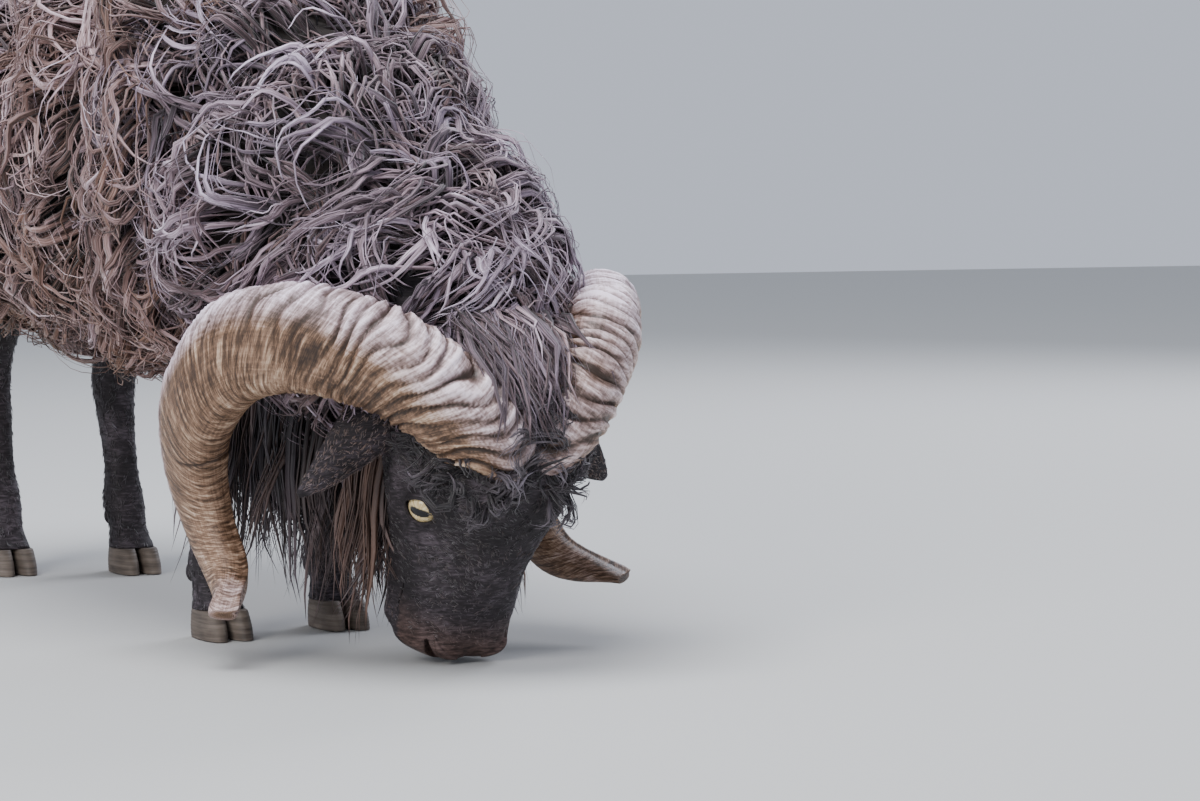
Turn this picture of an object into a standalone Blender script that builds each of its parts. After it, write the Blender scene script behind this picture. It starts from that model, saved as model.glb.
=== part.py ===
# A life-size ouessant ram, grazing with its head down, as a still museum model.
# The ram faces -Y and its left side is +X.

import math
import random

import bmesh
import bpy
from mathutils import Matrix, Vector

# Every gap between neighbouring pieces, in metres
GAP = 0.0003
# The last move, which brings the floor under the middle of the ram to the origin
STAND = Vector((-0.0115, -0.004, 0.0))

FORE_Y = -0.118
HIND_Y = 0.300

# The head's own axes start midway between the horn bases
HEAD_PLACE = Vector((0.050, -0.405, 0.163))
HEAD_TURN = math.radians(5.0)
HEAD_ROLL = math.radians(1.0)
HEAD_TUCK = math.radians(24.0)
HEAD_FRAME = (
    Matrix.Translation(HEAD_PLACE)
    @ Matrix.Rotation(HEAD_TURN, 4, "Z")
    @ Matrix.Rotation(-HEAD_ROLL, 4, "Y")
)
NOSE_AXIS = Vector((0.0, math.sin(HEAD_TUCK), -math.cos(HEAD_TUCK)))
FACE_AXIS = Vector((0.0, -math.cos(HEAD_TUCK), -math.sin(HEAD_TUCK)))
LEFT_AXIS = Vector((1.0, 0.0, 0.0))
BACK_AXIS = Vector((0.0, 1.0, 0.0))
UP_AXIS = Vector((0.0, 0.0, 1.0))

# Head sections: distance towards the nose, brow line, jaw line, half width, squareness
HEAD_SECTIONS = (
    (-0.036, -0.024, -0.062, 0.018, 2.2),
    (-0.030, 0.004, -0.084, 0.036, 2.4),
    (-0.014, 0.020, -0.100, 0.046, 2.5),
    (0.016, 0.028, -0.112, 0.050, 2.5),
    (0.050, 0.030, -0.119, 0.049, 2.4),
    (0.080, 0.024, -0.117, 0.045, 2.4),
    (0.110, 0.017, -0.105, 0.041, 2.4),
    (0.138, 0.011, -0.088, 0.038, 2.5),
    (0.162, 0.007, -0.073, 0.037, 2.6),
    (0.174, -0.002, -0.062, 0.033, 2.5),
    (0.182, -0.015, -0.048, 0.022, 2.2),
)
# Swellings and hollows of the head: sideways, towards the nose, out of the face, rise, spread
HEAD_BUMPS = (
    (0.046, 0.062, -0.006, 0.0060, 0.014),
    (0.034, 0.048, 0.024, 0.0030, 0.014),
    (0.042, 0.094, 0.004, -0.0035, 0.014),
    (0.045, 0.100, -0.030, 0.0022, 0.013),
    (0.046, 0.045, -0.084, 0.0040, 0.022),
    (0.020, 0.170, -0.004, 0.0026, 0.008),
    (0.028, 0.168, -0.026, 0.0020, 0.010),
)
HEAD_SIDES = 22
HEAD_RINGS = 19

EYE_RADIUS = 0.0118
EYE_PLACE = (0.0405, 0.0687, -0.0219)
EYE_AXIS = (0.86, 0.20, 0.47)
LID_THICKNESS = 0.0018
SLIT_AXIS = (-0.45, 0.38, 0.81)
SLIT_HALF_LENGTH = 0.0125
SLIT_HALF_HEIGHT = 0.0068

# The mouth runs round the muzzle as a groove, and turns up at its corners
MOUTH_NOSE = 0.137
MOUTH_REACH = 0.046
MOUTH_HALF_WIDTH = 0.037
MOUTH_FACE = -0.038
MOUTH_CORNER_RISE = 0.006
MOUTH_DEPTH = 0.0040
MOUTH_HALF_HEIGHT = 0.0011
NOSTRIL_PLACE = (0.0140, 0.1765, -0.0140)
NOSTRIL_AXIS = (0.55, 0.75, 0.20)
NOSTRIL_LONG = (0.80, -0.25, 0.55)
NOSTRIL_SIZE = (0.0062, 0.0026)
NOSTRIL_DEPTH = 0.0075

EAR_ROOT = (0.043, 0.023, -0.066)
EAR_AXIS = Vector((0.84, 0.16, -0.50))
EAR_OPENING = Vector((0.10, 0.85, 0.45))
EAR_LENGTH = 0.082
EAR_WIDTH = 0.038
EAR_THICKNESS = 0.0032

# Horn line: sideways, back, up, thickness from inside to outside of the curl, thickness sideways
HORN_ROWS = (
    (0.008, 0.012, -0.030, 0.040, 0.036),
    (0.029, -0.002, -0.004, 0.066, 0.050),
    (0.069, 0.020, 0.034, 0.070, 0.052),
    (0.099, 0.057, 0.052, 0.070, 0.052),
    (0.123, 0.095, 0.055, 0.070, 0.050),
    (0.138, 0.133, 0.043, 0.070, 0.046),
    (0.143, 0.171, 0.008, 0.066, 0.042),
    (0.134, 0.196, -0.032, 0.054, 0.036),
    (0.125, 0.195, -0.074, 0.041, 0.028),
    (0.127, 0.163, -0.109, 0.030, 0.024),
    (0.155, 0.118, -0.124, 0.009, 0.012),
)
HORN_CENTRE = Vector((0.0, 0.100, -0.040))
HORN_SIDES = 12
HORN_RINGS = 27
# The share of the line where the horn's rim sits; a pedicle of skin carries it up to there
HORN_LENGTH = 0.45
HORN_RIM = 0.088
PEDICLE_STEP = 0.0012
PEDICLE_RINGS = 5
RIDGE_COUNT = 15
RIDGE_DEPTH = 0.0018
RIDGED_SHARE = 0.60

# Trunk sections at the coat's tips: distance behind the front feet, height, half width, half height
TRUNK_SECTIONS = (
    (-0.130, 0.325, 0.040, 0.050),
    (-0.105, 0.328, 0.095, 0.115),
    (-0.055, 0.333, 0.138, 0.160),
    (0.010, 0.339, 0.158, 0.178),
    (0.100, 0.345, 0.170, 0.172),
    (0.200, 0.346, 0.174, 0.167),
    (0.310, 0.349, 0.167, 0.163),
    (0.400, 0.354, 0.148, 0.155),
    (0.470, 0.359, 0.118, 0.134),
    (0.515, 0.362, 0.078, 0.095),
    (0.535, 0.362, 0.030, 0.038),
)
# Neck sections at the coat's tips: forward of the front feet, sideways, height, half sizes
NECK_SECTIONS = (
    (-0.060, 0.000, 0.350, 0.140, 0.150),
    (0.010, 0.004, 0.333, 0.140, 0.146),
    (0.080, 0.014, 0.296, 0.132, 0.132),
    (0.150, 0.031, 0.250, 0.119, 0.113),
    (0.212, 0.046, 0.208, 0.099, 0.090),
    (0.246, 0.051, 0.186, 0.066, 0.060),
    (0.258, 0.053, 0.178, 0.026, 0.026),
)
COAT_DEPTH = 0.030
BODY_SIDES = 14
TRUNK_RINGS = 10
NECK_RINGS = 8
# The parting between torso and neck
PARTING_FORWARD = 0.085
PARTING_HEIGHT = 0.300
PARTING_AXIS = Vector((0.0, -0.80, -0.60)).normalized()

# Locks of the coat
LOCK_SIDES = 6
# How far apart the locks of a row stand, as a share of their width
LOCK_SPACING = 0.93
TRUNK_LOCK_ROWS = 5
TRUNK_LOCK_SPAN = (-0.075, 0.500)
TRUNK_LOCK_SIZE = (0.190, 0.150, 0.044)
NECK_LOCK_ROWS = 4
NECK_LOCK_SPAN = (1.3, 5.0)
NECK_LOCK_SIZE = (0.135, 0.130, 0.038)
# How strongly a lock's flat section follows the round of the body, per metre
TRUNK_HUG = 3.0
NECK_HUG = 3.6
# How deep a lock of the coat lies under the tips from its root to its end
LOCK_DEPTHS = (COAT_DEPTH + 0.012, 0.024, 0.018, 0.021, COAT_DEPTH + 0.006)
LOCK_LIFT = 0.005
LOCK_WAVE = 0.014
HANGING_WAVE = 0.006
# How soon, on the way round from the spine, the locks hang straight down
HANG_SHARE = 1.3
# Rows of long throat hair: place along the neck, angle between locks, length, width, thickness
THROAT_ROWS = (
    (1.8, 0.42, 0.150, 0.046, 0.015),
    (2.4, 0.42, 0.150, 0.044, 0.015),
    (3.0, 0.42, 0.130, 0.042, 0.014),
    (3.7, 0.42, 0.115, 0.038, 0.013),
    (4.3, 0.42, 0.100, 0.036, 0.013),
)
TOPKNOT_LOCK_SIZE = (0.095, 0.034, 0.026)
# The topknot's line over the poll, in the head's own axes: back, up
TOPKNOT_LINE = ((0.042, 0.040), (0.032, 0.062), (0.010, 0.062), (-0.012, 0.048), (-0.026, 0.026))
TOPKNOT_SPREAD = 0.021
TAIL_LOCK_SIZE = (0.095, 0.046, 0.016)
SEED = 11

# Leg lines from the top down: back, outwards, height, half size front to back, half size sideways
FORE_LEG = (
    (0.000, 0.012, 0.235, 0.033, 0.029),
    (0.000, 0.008, 0.198, 0.027, 0.024),
    (-0.002, 0.003, 0.160, 0.0205, 0.0185),
    (-0.004, 0.001, 0.128, 0.0195, 0.0185),
    (-0.002, 0.000, 0.108, 0.0155, 0.0150),
    (0.000, 0.000, 0.075, 0.0138, 0.0132),
    (0.002, 0.000, 0.052, 0.0178, 0.0170),
    (-0.003, 0.000, 0.034, 0.0150, 0.0155),
    (-0.009, 0.000, 0.020, 0.0175, 0.0190),
)
HIND_LEG = (
    (-0.026, 0.010, 0.262, 0.046, 0.034),
    (-0.003, 0.006, 0.218, 0.036, 0.027),
    (0.022, 0.003, 0.180, 0.025, 0.0195),
    (0.032, 0.001, 0.153, 0.0225, 0.0175),
    (0.026, 0.000, 0.128, 0.0180, 0.0155),
    (0.014, 0.000, 0.085, 0.0145, 0.0135),
    (0.008, 0.000, 0.055, 0.0178, 0.0170),
    (-0.001, 0.000, 0.036, 0.0150, 0.0155),
    (-0.009, 0.000, 0.020, 0.0175, 0.0190),
)
LEG_SIDES = 10
# Where each foot stands: name, sideways, y
FEET = (
    ("fore_right", -0.050, FORE_Y - 0.008),
    ("fore_left", 0.046, FORE_Y + 0.010),
    ("hind_right", -0.050, HIND_Y + 0.030),
    ("hind_left", 0.042, HIND_Y - 0.006),
)
# Claw sections: height, heel behind the toe's middle, toe tip before it, half width
CLAW_ROWS = (
    (0.0000, 0.026, -0.024, 0.0085),
    (0.0080, 0.026, -0.021, 0.0088),
    (0.0197, 0.0245, -0.013, 0.0082),
)
CLAW_FORWARD = 0.018
CLAW_SPREAD = 0.0094
DEWCLAW_PLACE = (0.0095, 0.0140, 0.044)
DEWCLAW_SIZE = (0.0050, 0.0042, 0.0075)

# Tail line from its root down: y, height, half width, half depth
TAIL_ROWS = (
    (0.372, 0.405, 0.020, 0.018),
    (0.415, 0.395, 0.024, 0.020),
    (0.432, 0.360, 0.026, 0.018),
    (0.438, 0.320, 0.025, 0.016),
    (0.438, 0.280, 0.019, 0.013),
    (0.437, 0.255, 0.008, 0.007),
)

COLOURS = {
    "fleece": ((0.075, 0.060, 0.058), 0.95),
    "face": ((0.022, 0.019, 0.021), 0.80),
    "horn": ((0.300, 0.235, 0.175), 0.55),
    "ear": ((0.085, 0.062, 0.052), 0.85),
    "eye": ((0.620, 0.500, 0.300), 0.12),
    "leg": ((0.020, 0.017, 0.019), 0.80),
    "hoof": ((0.140, 0.115, 0.095), 0.60),
}


def clear_scene():
    for old in list(bpy.data.objects):
        bpy.data.objects.remove(old)


def material(kind):
    name = "ram_" + kind
    if name in bpy.data.materials:
        return bpy.data.materials[name]
    colour, roughness = COLOURS[kind]
    made = bpy.data.materials.new(name)
    made.use_nodes = True
    shader = made.node_tree.nodes["Principled BSDF"]
    shader.inputs["Base Color"].default_value = (*colour, 1.0)
    shader.inputs["Roughness"].default_value = roughness
    shader.inputs["Metallic"].default_value = 0.0
    return made


def collection(name):
    made = bpy.data.collections.new(name)
    bpy.context.scene.collection.children.link(made)
    return made


# Curves and rings


def smooth_value(rows, at, column):
    # Catmull-Rom through the rows, whose first column is the place
    at = min(max(at, rows[0][0]), rows[-1][0])
    k = next(i for i in range(len(rows) - 1) if at <= rows[i + 1][0])
    before, start = rows[max(k - 1, 0)], rows[k]
    end, after = rows[k + 1], rows[min(k + 2, len(rows) - 1)]
    span = end[0] - start[0]
    share = (at - start[0]) / span
    slope_in = (end[column] - before[column]) / max(end[0] - before[0], 1e-9) * span
    slope_out = (after[column] - start[column]) / max(after[0] - start[0], 1e-9) * span
    s2, s3 = share * share, share**3
    return (
        (2 * s3 - 3 * s2 + 1) * start[column]
        + (s3 - 2 * s2 + share) * slope_in
        + (3 * s2 - 2 * s3) * end[column]
        + (s3 - s2) * slope_out
    )


def numbered(rows):
    return [(float(i), *row) for i, row in enumerate(rows)]


def oval_share(angle, power):
    c, s = math.cos(angle), math.sin(angle)
    across = math.copysign(abs(c) ** (2 / power), c)
    high = math.copysign(abs(s) ** (2 / power), s)
    return across, high


def oval(middle, right, up, half_right, half_up, sides, power=2.0):
    points = []
    for i in range(sides):
        across, high = oval_share(math.tau * i / sides, power)
        points.append(middle + right * (across * half_right) + up * (high * half_up))
    return points


def loft(name, rings, home):
    # A closed skin over rings of equal count, with a fan at each end
    sides = len(rings[0])
    points = [p for ring in rings for p in ring]
    faces = []
    for r in range(len(rings) - 1):
        for i in range(sides):
            j = (i + 1) % sides
            a, b = r * sides + i, r * sides + j
            c, d = (r + 1) * sides + j, (r + 1) * sides + i
            faces.extend(((a, b, c), (a, c, d)))
    for ring_index, flip in ((0, True), (len(rings) - 1, False)):
        points.append(sum(rings[ring_index], Vector()) / sides)
        hub = len(points) - 1
        for i in range(sides):
            j = (i + 1) % sides
            a, b = ring_index * sides + i, ring_index * sides + j
            faces.append((b, a, hub) if flip else (a, b, hub))
    mesh = bpy.data.meshes.new(name)
    mesh.from_pydata([tuple(p) for p in points], [], faces)
    mesh.update()
    made = bpy.data.objects.new(name, mesh)
    home.objects.link(made)
    face_outwards(made)
    return made


def ball(name, middle, radii, home, segments=12, rings=8):
    mesh = bpy.data.meshes.new(name)
    bm = bmesh.new()
    bmesh.ops.create_uvsphere(bm, u_segments=segments, v_segments=rings, radius=1.0)
    bmesh.ops.scale(bm, verts=bm.verts, vec=radii)
    bmesh.ops.translate(bm, verts=bm.verts, vec=middle)
    bmesh.ops.triangulate(bm, faces=bm.faces)
    bm.to_mesh(mesh)
    bm.free()
    made = bpy.data.objects.new(name, mesh)
    home.objects.link(made)
    return made


def slab(name, middle, normal, home, size=1.6):
    # A large box whose face through the middle point looks along the normal
    mesh = bpy.data.meshes.new(name)
    bm = bmesh.new()
    bmesh.ops.create_cube(bm, size=size)
    bmesh.ops.translate(bm, verts=bm.verts, vec=Vector((0, 0, -size / 2)))
    turn = normal.to_track_quat("Z", "Y").to_matrix().to_4x4()
    bmesh.ops.transform(bm, matrix=Matrix.Translation(middle) @ turn, verts=bm.verts)
    bm.to_mesh(mesh)
    bm.free()
    made = bpy.data.objects.new(name, mesh)
    home.objects.link(made)
    return made


# Joining and cutting


def face_outwards(made):
    bm = bmesh.new()
    bm.from_mesh(made.data)
    bmesh.ops.recalc_face_normals(bm, faces=bm.faces)
    if bm.calc_volume(signed=True) < 0:
        bmesh.ops.reverse_faces(bm, faces=bm.faces)
    bm.to_mesh(made.data)
    bm.free()


def boolean(target, others, operation, solver="MANIFOLD"):
    # The helper objects stay in the file until the model is whole
    tools = collection("tools")
    for other in others:
        tools.objects.link(other)
    step = target.modifiers.new("step", "BOOLEAN")
    step.operation = operation
    step.operand_type = "COLLECTION"
    step.collection = tools
    step.solver = solver
    graph = bpy.context.evaluated_depsgraph_get()
    result = bpy.data.meshes.new_from_object(target.evaluated_get(graph))
    target.modifiers.clear()
    old = target.data
    target.data = result
    result.name = target.name
    bpy.data.meshes.remove(old)
    for other in others:
        tools.objects.unlink(other)
    bpy.data.collections.remove(tools)
    keep_largest(target)


def keep_largest(made):
    # Of the closed surfaces in a mesh, only the one with the largest area stays
    bm = bmesh.new()
    bm.from_mesh(made.data)
    bmesh.ops.triangulate(bm, faces=bm.faces)
    left = set(bm.faces)
    shells = []
    while left:
        stack = [left.pop()]
        shell = list(stack)
        while stack:
            for edge in stack.pop().edges:
                for face in edge.link_faces:
                    if face in left:
                        left.discard(face)
                        stack.append(face)
                        shell.append(face)
        shells.append(shell)
    shells.sort(key=lambda shell: sum(f.calc_area() for f in shell), reverse=True)
    loose = [f for shell in shells[1:] for f in shell]
    bmesh.ops.delete(bm, geom=loose, context="FACES")
    bm.to_mesh(made.data)
    bm.free()


# Head


def head_point(sideways, nose, face):
    return HEAD_FRAME @ (LEFT_AXIS * sideways + NOSE_AXIS * nose + FACE_AXIS * face)


def head_direction(sideways, nose, face):
    turn = HEAD_FRAME.to_3x3()
    return (turn @ (LEFT_AXIS * sideways + NOSE_AXIS * nose + FACE_AXIS * face)).normalized()


def head_swelling(sideways, nose, face):
    total = 0.0
    for bump_side, bump_nose, bump_face, rise, spread in HEAD_BUMPS:
        away = (
            (abs(sideways) - bump_side) ** 2 + (nose - bump_nose) ** 2 + (face - bump_face) ** 2
        )
        total += rise * math.exp(-away / (2 * spread * spread))
    return total


def head_surface(at, angle, extra):
    top, low, half, power = (smooth_value(HEAD_SECTIONS, at, c) for c in (1, 2, 3, 4))
    across, high = oval_share(angle, power)
    narrowing = 1.0 + 0.06 * high
    sideways = across * half * narrowing
    face = (top + low) / 2 + high * (top - low) / 2
    reach = math.hypot(sideways, face - (top + low) / 2)
    push = 1.0 + (head_swelling(sideways, at, face) + extra) / max(reach, 0.004)
    middle = (top + low) / 2
    return head_point(sideways * push, at, middle + (face - middle) * push)


def head_form(name, extra, home):
    first, last = HEAD_SECTIONS[0][0], HEAD_SECTIONS[-1][0]
    rings = []
    for r in range(HEAD_RINGS):
        share = r / (HEAD_RINGS - 1)
        at = first + (last - first) * (share - 0.05 * math.sin(math.tau * share))
        at += extra * math.copysign(1.0, share - 0.5) * (share in (0.0, 1.0))
        rings.append(
            [
                head_surface(at, math.tau * (i + 0.5) / HEAD_SIDES, extra)
                for i in range(HEAD_SIDES)
            ]
        )
    return loft(name, rings, home)


def slit_form(side, home):
    # The almond between the lids, carried from the eye's middle out through them
    middle = head_point(side * EYE_PLACE[0], EYE_PLACE[1], EYE_PLACE[2])
    outwards = head_direction(side * EYE_AXIS[0], EYE_AXIS[1], EYE_AXIS[2])
    slit = head_direction(side * SLIT_AXIS[0], SLIT_AXIS[1], SLIT_AXIS[2])
    slit = (slit - outwards * slit.dot(outwards)).normalized()
    across = outwards.cross(slit)
    rings = []
    for depth, spread in ((0.25, 0.80), (0.80, 0.95), (1.80, 1.15)):
        ring = []
        for i in range(16):
            c, s = math.cos(math.tau * i / 16), math.sin(math.tau * i / 16)
            narrow = SLIT_HALF_HEIGHT * s * (1.0 - 0.45 * c * c)
            spot = middle + outwards * (EYE_RADIUS * depth)
            ring.append(spot + (slit * (SLIT_HALF_LENGTH * c) + across * narrow) * spread)
        rings.append(ring)
    return loft("slit", rings, home)


def mouth_form(home):
    # A diamond-section cutter that follows the muzzle's outline at the height of the lips
    rings = []
    for i in range(19):
        angle = math.radians(-112 + 224 * i / 18)
        rise = MOUTH_CORNER_RISE * (math.sin(angle / 2) ** 2) * 2
        place = (
            MOUTH_HALF_WIDTH * math.sin(angle),
            MOUTH_NOSE + MOUTH_REACH * math.cos(angle),
            MOUTH_FACE + rise,
        )
        outwards = head_direction(math.sin(angle), math.cos(angle), 0.0)
        up = head_direction(0.0, 0.0, 1.0)
        half_height = MOUTH_HALF_HEIGHT * (1.0 if 0 < i < 18 else 0.3)
        rings.append(oval(head_point(*place), outwards, up, MOUTH_DEPTH, half_height, 4))
    return loft("mouth", rings, home)


def nostril_form(side, home):
    inwards = -head_direction(side * NOSTRIL_AXIS[0], NOSTRIL_AXIS[1], NOSTRIL_AXIS[2])
    long_way = head_direction(side * NOSTRIL_LONG[0], NOSTRIL_LONG[1], NOSTRIL_LONG[2])
    long_way = (long_way - inwards * long_way.dot(inwards)).normalized()
    across = inwards.cross(long_way)
    mouth = head_point(side * NOSTRIL_PLACE[0], NOSTRIL_PLACE[1], NOSTRIL_PLACE[2])
    rings = []
    for depth, spread in ((-0.8, 1.2), (0.0, 1.0), (1.0, 0.6)):
        spot = mouth + inwards * (NOSTRIL_DEPTH * depth)
        half = (NOSTRIL_SIZE[0] * spread, NOSTRIL_SIZE[1] * spread)
        rings.append(oval(spot, long_way, across, half[0], half[1], 8))
    return loft("nostril", rings, home)


def eye_ball(name, side, radius, home):
    middle = head_point(side * EYE_PLACE[0], EYE_PLACE[1], EYE_PLACE[2])
    return ball(name, middle, (radius, radius, radius), home)


# Horns and ears


def horn_form(name, side, extra, home, first=0.0, last=1.0, ring_count=HORN_RINGS):
    # The rings stand evenly along the line's real length, between two shares of it
    rows = numbered(HORN_ROWS)
    steps = 300
    fine = []
    for i in range(steps + 1):
        at = i / steps * (len(rows) - 1)
        x, y, z = (smooth_value(rows, at, c) for c in (1, 2, 3))
        fine.append((at, Vector((side * x, y, z))))
    run = [0.0]
    for (_, a), (_, b) in zip(fine, fine[1:]):
        run.append(run[-1] + (b - a).length)
    turn = HEAD_FRAME.to_3x3()
    rings = []
    for r in range(ring_count):
        share = first + (last - first) * r / (ring_count - 1)
        k = next((i for i, length in enumerate(run) if length >= share * run[-1]), steps)
        k = min(max(k, 1), steps)
        left_over = (run[k] - share * run[-1]) / max(run[k] - run[k - 1], 1e-9)
        at = fine[k][0] + (fine[k - 1][0] - fine[k][0]) * left_over
        place = fine[k][1].lerp(fine[k - 1][1], left_over)
        along = (fine[min(k + 1, steps)][1] - fine[k - 1][1]).normalized()
        outwards = place - HORN_CENTRE
        outwards.x = 0.0
        outwards = (outwards - along * outwards.dot(along)).normalized()
        across = along.cross(outwards)
        deep = smooth_value(rows, at, 4) / 2 + extra
        wide = smooth_value(rows, at, 5) / 2 + extra
        fade = max(0.0, 1.0 - share / RIDGED_SHARE) ** 0.5
        swell = RIDGE_DEPTH * fade * math.cos(math.tau * RIDGE_COUNT * share / RIDGED_SHARE)
        rings.append(
            oval(
                HEAD_FRAME @ place,
                turn @ outwards,
                turn @ across,
                deep + swell,
                wide + swell,
                HORN_SIDES,
                2.3,
            )
        )
    return loft(name, rings, home)


def ear_form(name, side, extra, home):
    # A furled leaf: an open sheet that Solidify gives its wall
    flip = Vector((side, 1.0, 1.0))
    along = (EAR_AXIS * flip).normalized()
    opening = EAR_OPENING * flip
    opening = (opening - along * opening.dot(along)).normalized()
    across = along.cross(opening)
    root = head_point(side * EAR_ROOT[0], EAR_ROOT[1], EAR_ROOT[2])
    length_steps, width_steps = 8, 6
    bm = bmesh.new()
    rows = []
    reach = extra / EAR_LENGTH
    for i in range(length_steps + 1):
        share = i / length_steps
        belly = 0.50 + 0.50 * math.sin(math.pi * min(1.0, 0.20 + share * 0.80)) ** 0.8
        half = EAR_WIDTH / 2 * belly * (1.0 - 0.30 * share - 0.45 * share**5)
        curl = math.radians(125.0 - 80.0 * share)
        radius = half / math.sin(min(curl, math.pi / 2))
        droop = -0.010 * share * share
        spine = root + along * (EAR_LENGTH * (share + reach * (2 * share - 1)))
        spine += UP_AXIS * droop
        row = []
        for j in range(width_steps + 1):
            bend = (curl + extra / radius) * (2 * j / width_steps - 1)
            spot = spine + across * (radius * math.sin(bend))
            spot -= opening * (radius * (math.cos(bend) - 0.5))
            row.append(bm.verts.new(spot))
        rows.append(row)
    for low, high in zip(rows, rows[1:]):
        for j in range(width_steps):
            bm.faces.new((low[j], low[j + 1], high[j + 1], high[j]))
    bmesh.ops.triangulate(bm, faces=bm.faces)
    mesh = bpy.data.meshes.new(name)
    bm.to_mesh(mesh)
    bm.free()
    made = bpy.data.objects.new(name, mesh)
    home.objects.link(made)
    wall = made.modifiers.new("wall", "SOLIDIFY")
    wall.thickness = EAR_THICKNESS + 2 * extra
    wall.offset = 0.0
    graph = bpy.context.evaluated_depsgraph_get()
    result = bpy.data.meshes.new_from_object(made.evaluated_get(graph))
    made.modifiers.clear()
    made.data = result
    face_outwards(made)
    return made


# Trunk, neck and their locks


def trunk_point(at, angle, depth):
    # A point under the coat's tips by the depth
    middle, half, high = (smooth_value(TRUNK_SECTIONS, at, c) for c in (1, 2, 3))
    first, last = TRUNK_SECTIONS[0][0], TRUNK_SECTIONS[-1][0]
    centre = (first + last) / 2
    y = FORE_Y + centre + (at - centre) * (1.0 - depth / (last - centre))
    across, up = oval_share(angle, 2.25)
    half = max(half - depth, 0.006)
    high = max(high - depth, 0.008)
    return Vector((across * half, y, middle + up * high))


def neck_place(at):
    forward, sideways, height = (smooth_value(numbered(NECK_SECTIONS), at, c) for c in (1, 2, 3))
    return Vector((sideways, FORE_Y - forward, height))


def neck_point(at, angle, depth):
    rows = numbered(NECK_SECTIONS)
    along = neck_place(min(at + 0.05, len(rows) - 1)) - neck_place(max(at - 0.05, 0.0))
    along.normalize()
    up = along.cross(LEFT_AXIS).normalized()
    left = up.cross(along)
    half, high = smooth_value(rows, at, 4), smooth_value(rows, at, 5)
    across, rise = oval_share(angle, 2.1)
    half = max(half - depth, 0.005)
    high = max(high - depth, 0.005)
    end = max(0.0, at - (len(rows) - 2)) * depth
    return neck_place(at) - along * end + left * (across * half) + up * (rise * high)


def core_form(name, place, first, last, ring_count, home):
    rings = []
    for r in range(ring_count):
        share = r / (ring_count - 1)
        at = first + (last - first) * (share - 0.05 * math.sin(math.tau * share))
        rings.append(
            [place(at, math.tau * i / BODY_SIDES, COAT_DEPTH) for i in range(BODY_SIDES)]
        )
    return loft(name, rings, home)


def lock_form(path, normals, size, home, draw, hug=0.0):
    # A flat tapered clump along a path, widest at a third and bluntly pointed at its end
    _, width, thickness = size
    rings = []
    count = len(path)
    for i in range(count):
        share = i / (count - 1)
        along = (path[min(i + 1, count - 1)] - path[max(i - 1, 0)]).normalized()
        normal = (normals[i] - along * normals[i].dot(along)).normalized()
        across = along.cross(normal)
        taper = (0.70 + 0.30 * math.sin(math.pi * min(1.0, share * 1.3))) * (
            1.0 - 0.72 * (max(0.0, share - 0.40) / 0.60) ** 2
        )
        half_wide = width / 2 * taper
        half_thick = thickness / 2 * (0.35 + 0.65 * taper)
        middle = path[i] + across * draw[i]
        ring = oval(middle, across, normal, half_wide, half_thick, LOCK_SIDES)
        rings.append([p - normal * (hug * (p - middle).dot(across) ** 2) for p in ring])
    return loft("lock", rings, home)


def surface_lock(place, at, angle, at_step, angle_step, size, hug, home, rng):
    # A lock that leaves the core, rises to the coat's tips and lies along them
    count = len(LOCK_DEPTHS)
    lift = rng.uniform(-LOCK_LIFT, LOCK_LIFT)
    wave = rng.uniform(-1.0, 1.0)
    path, normals, draw = [], [], []
    for i, depth in enumerate(LOCK_DEPTHS):
        share = i / (count - 1)
        run_at = at + at_step * share
        run_angle = angle + angle_step * share
        spot = place(run_at, run_angle, depth - lift * math.sin(math.pi * share))
        outer = place(run_at, run_angle, depth - 0.02)
        path.append(spot)
        normals.append((outer - spot).normalized())
        draw.append(LOCK_WAVE * wave * math.sin(math.pi * 1.6 * share))
    return lock_form(path, normals, size, home, draw, hug)


def trunk_locks(home, rng):
    made = []
    first, last = TRUNK_LOCK_SPAN
    for row in range(TRUNK_LOCK_ROWS):
        at = first + (last - first) * row / (TRUNK_LOCK_ROWS - 1)
        half, high = smooth_value(TRUNK_SECTIONS, at, 2), smooth_value(TRUNK_SECTIONS, at, 3)
        round_length = math.pi * (half + high)
        count = max(5, round(round_length / (TRUNK_LOCK_SIZE[1] * LOCK_SPACING)))
        for i in range(count):
            turn = (i + 0.5 * (row % 2) + rng.uniform(-0.15, 0.15)) / count
            angle = math.tau * turn
            # Sideways locks hang towards the belly, those of the back part along the spine
            fall = math.cos(angle)
            down = -math.copysign(min(1.0, abs(fall) * HANG_SHARE), fall)
            if math.sin(angle) < -0.75:
                down *= 0.3
            length = TRUNK_LOCK_SIZE[0] * rng.uniform(0.88, 1.12)
            along = length * (0.45 + 0.45 * (1 - abs(down)))
            around = down * length * 0.85 / (round_length / math.tau)
            spot = at + rng.uniform(-0.012, 0.012)
            made.append(
                surface_lock(
                    trunk_point,
                    spot,
                    angle,
                    min(along, TRUNK_SECTIONS[-1][0] - spot),
                    around,
                    TRUNK_LOCK_SIZE,
                    TRUNK_HUG,
                    home,
                    rng,
                )
            )
    return made


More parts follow.
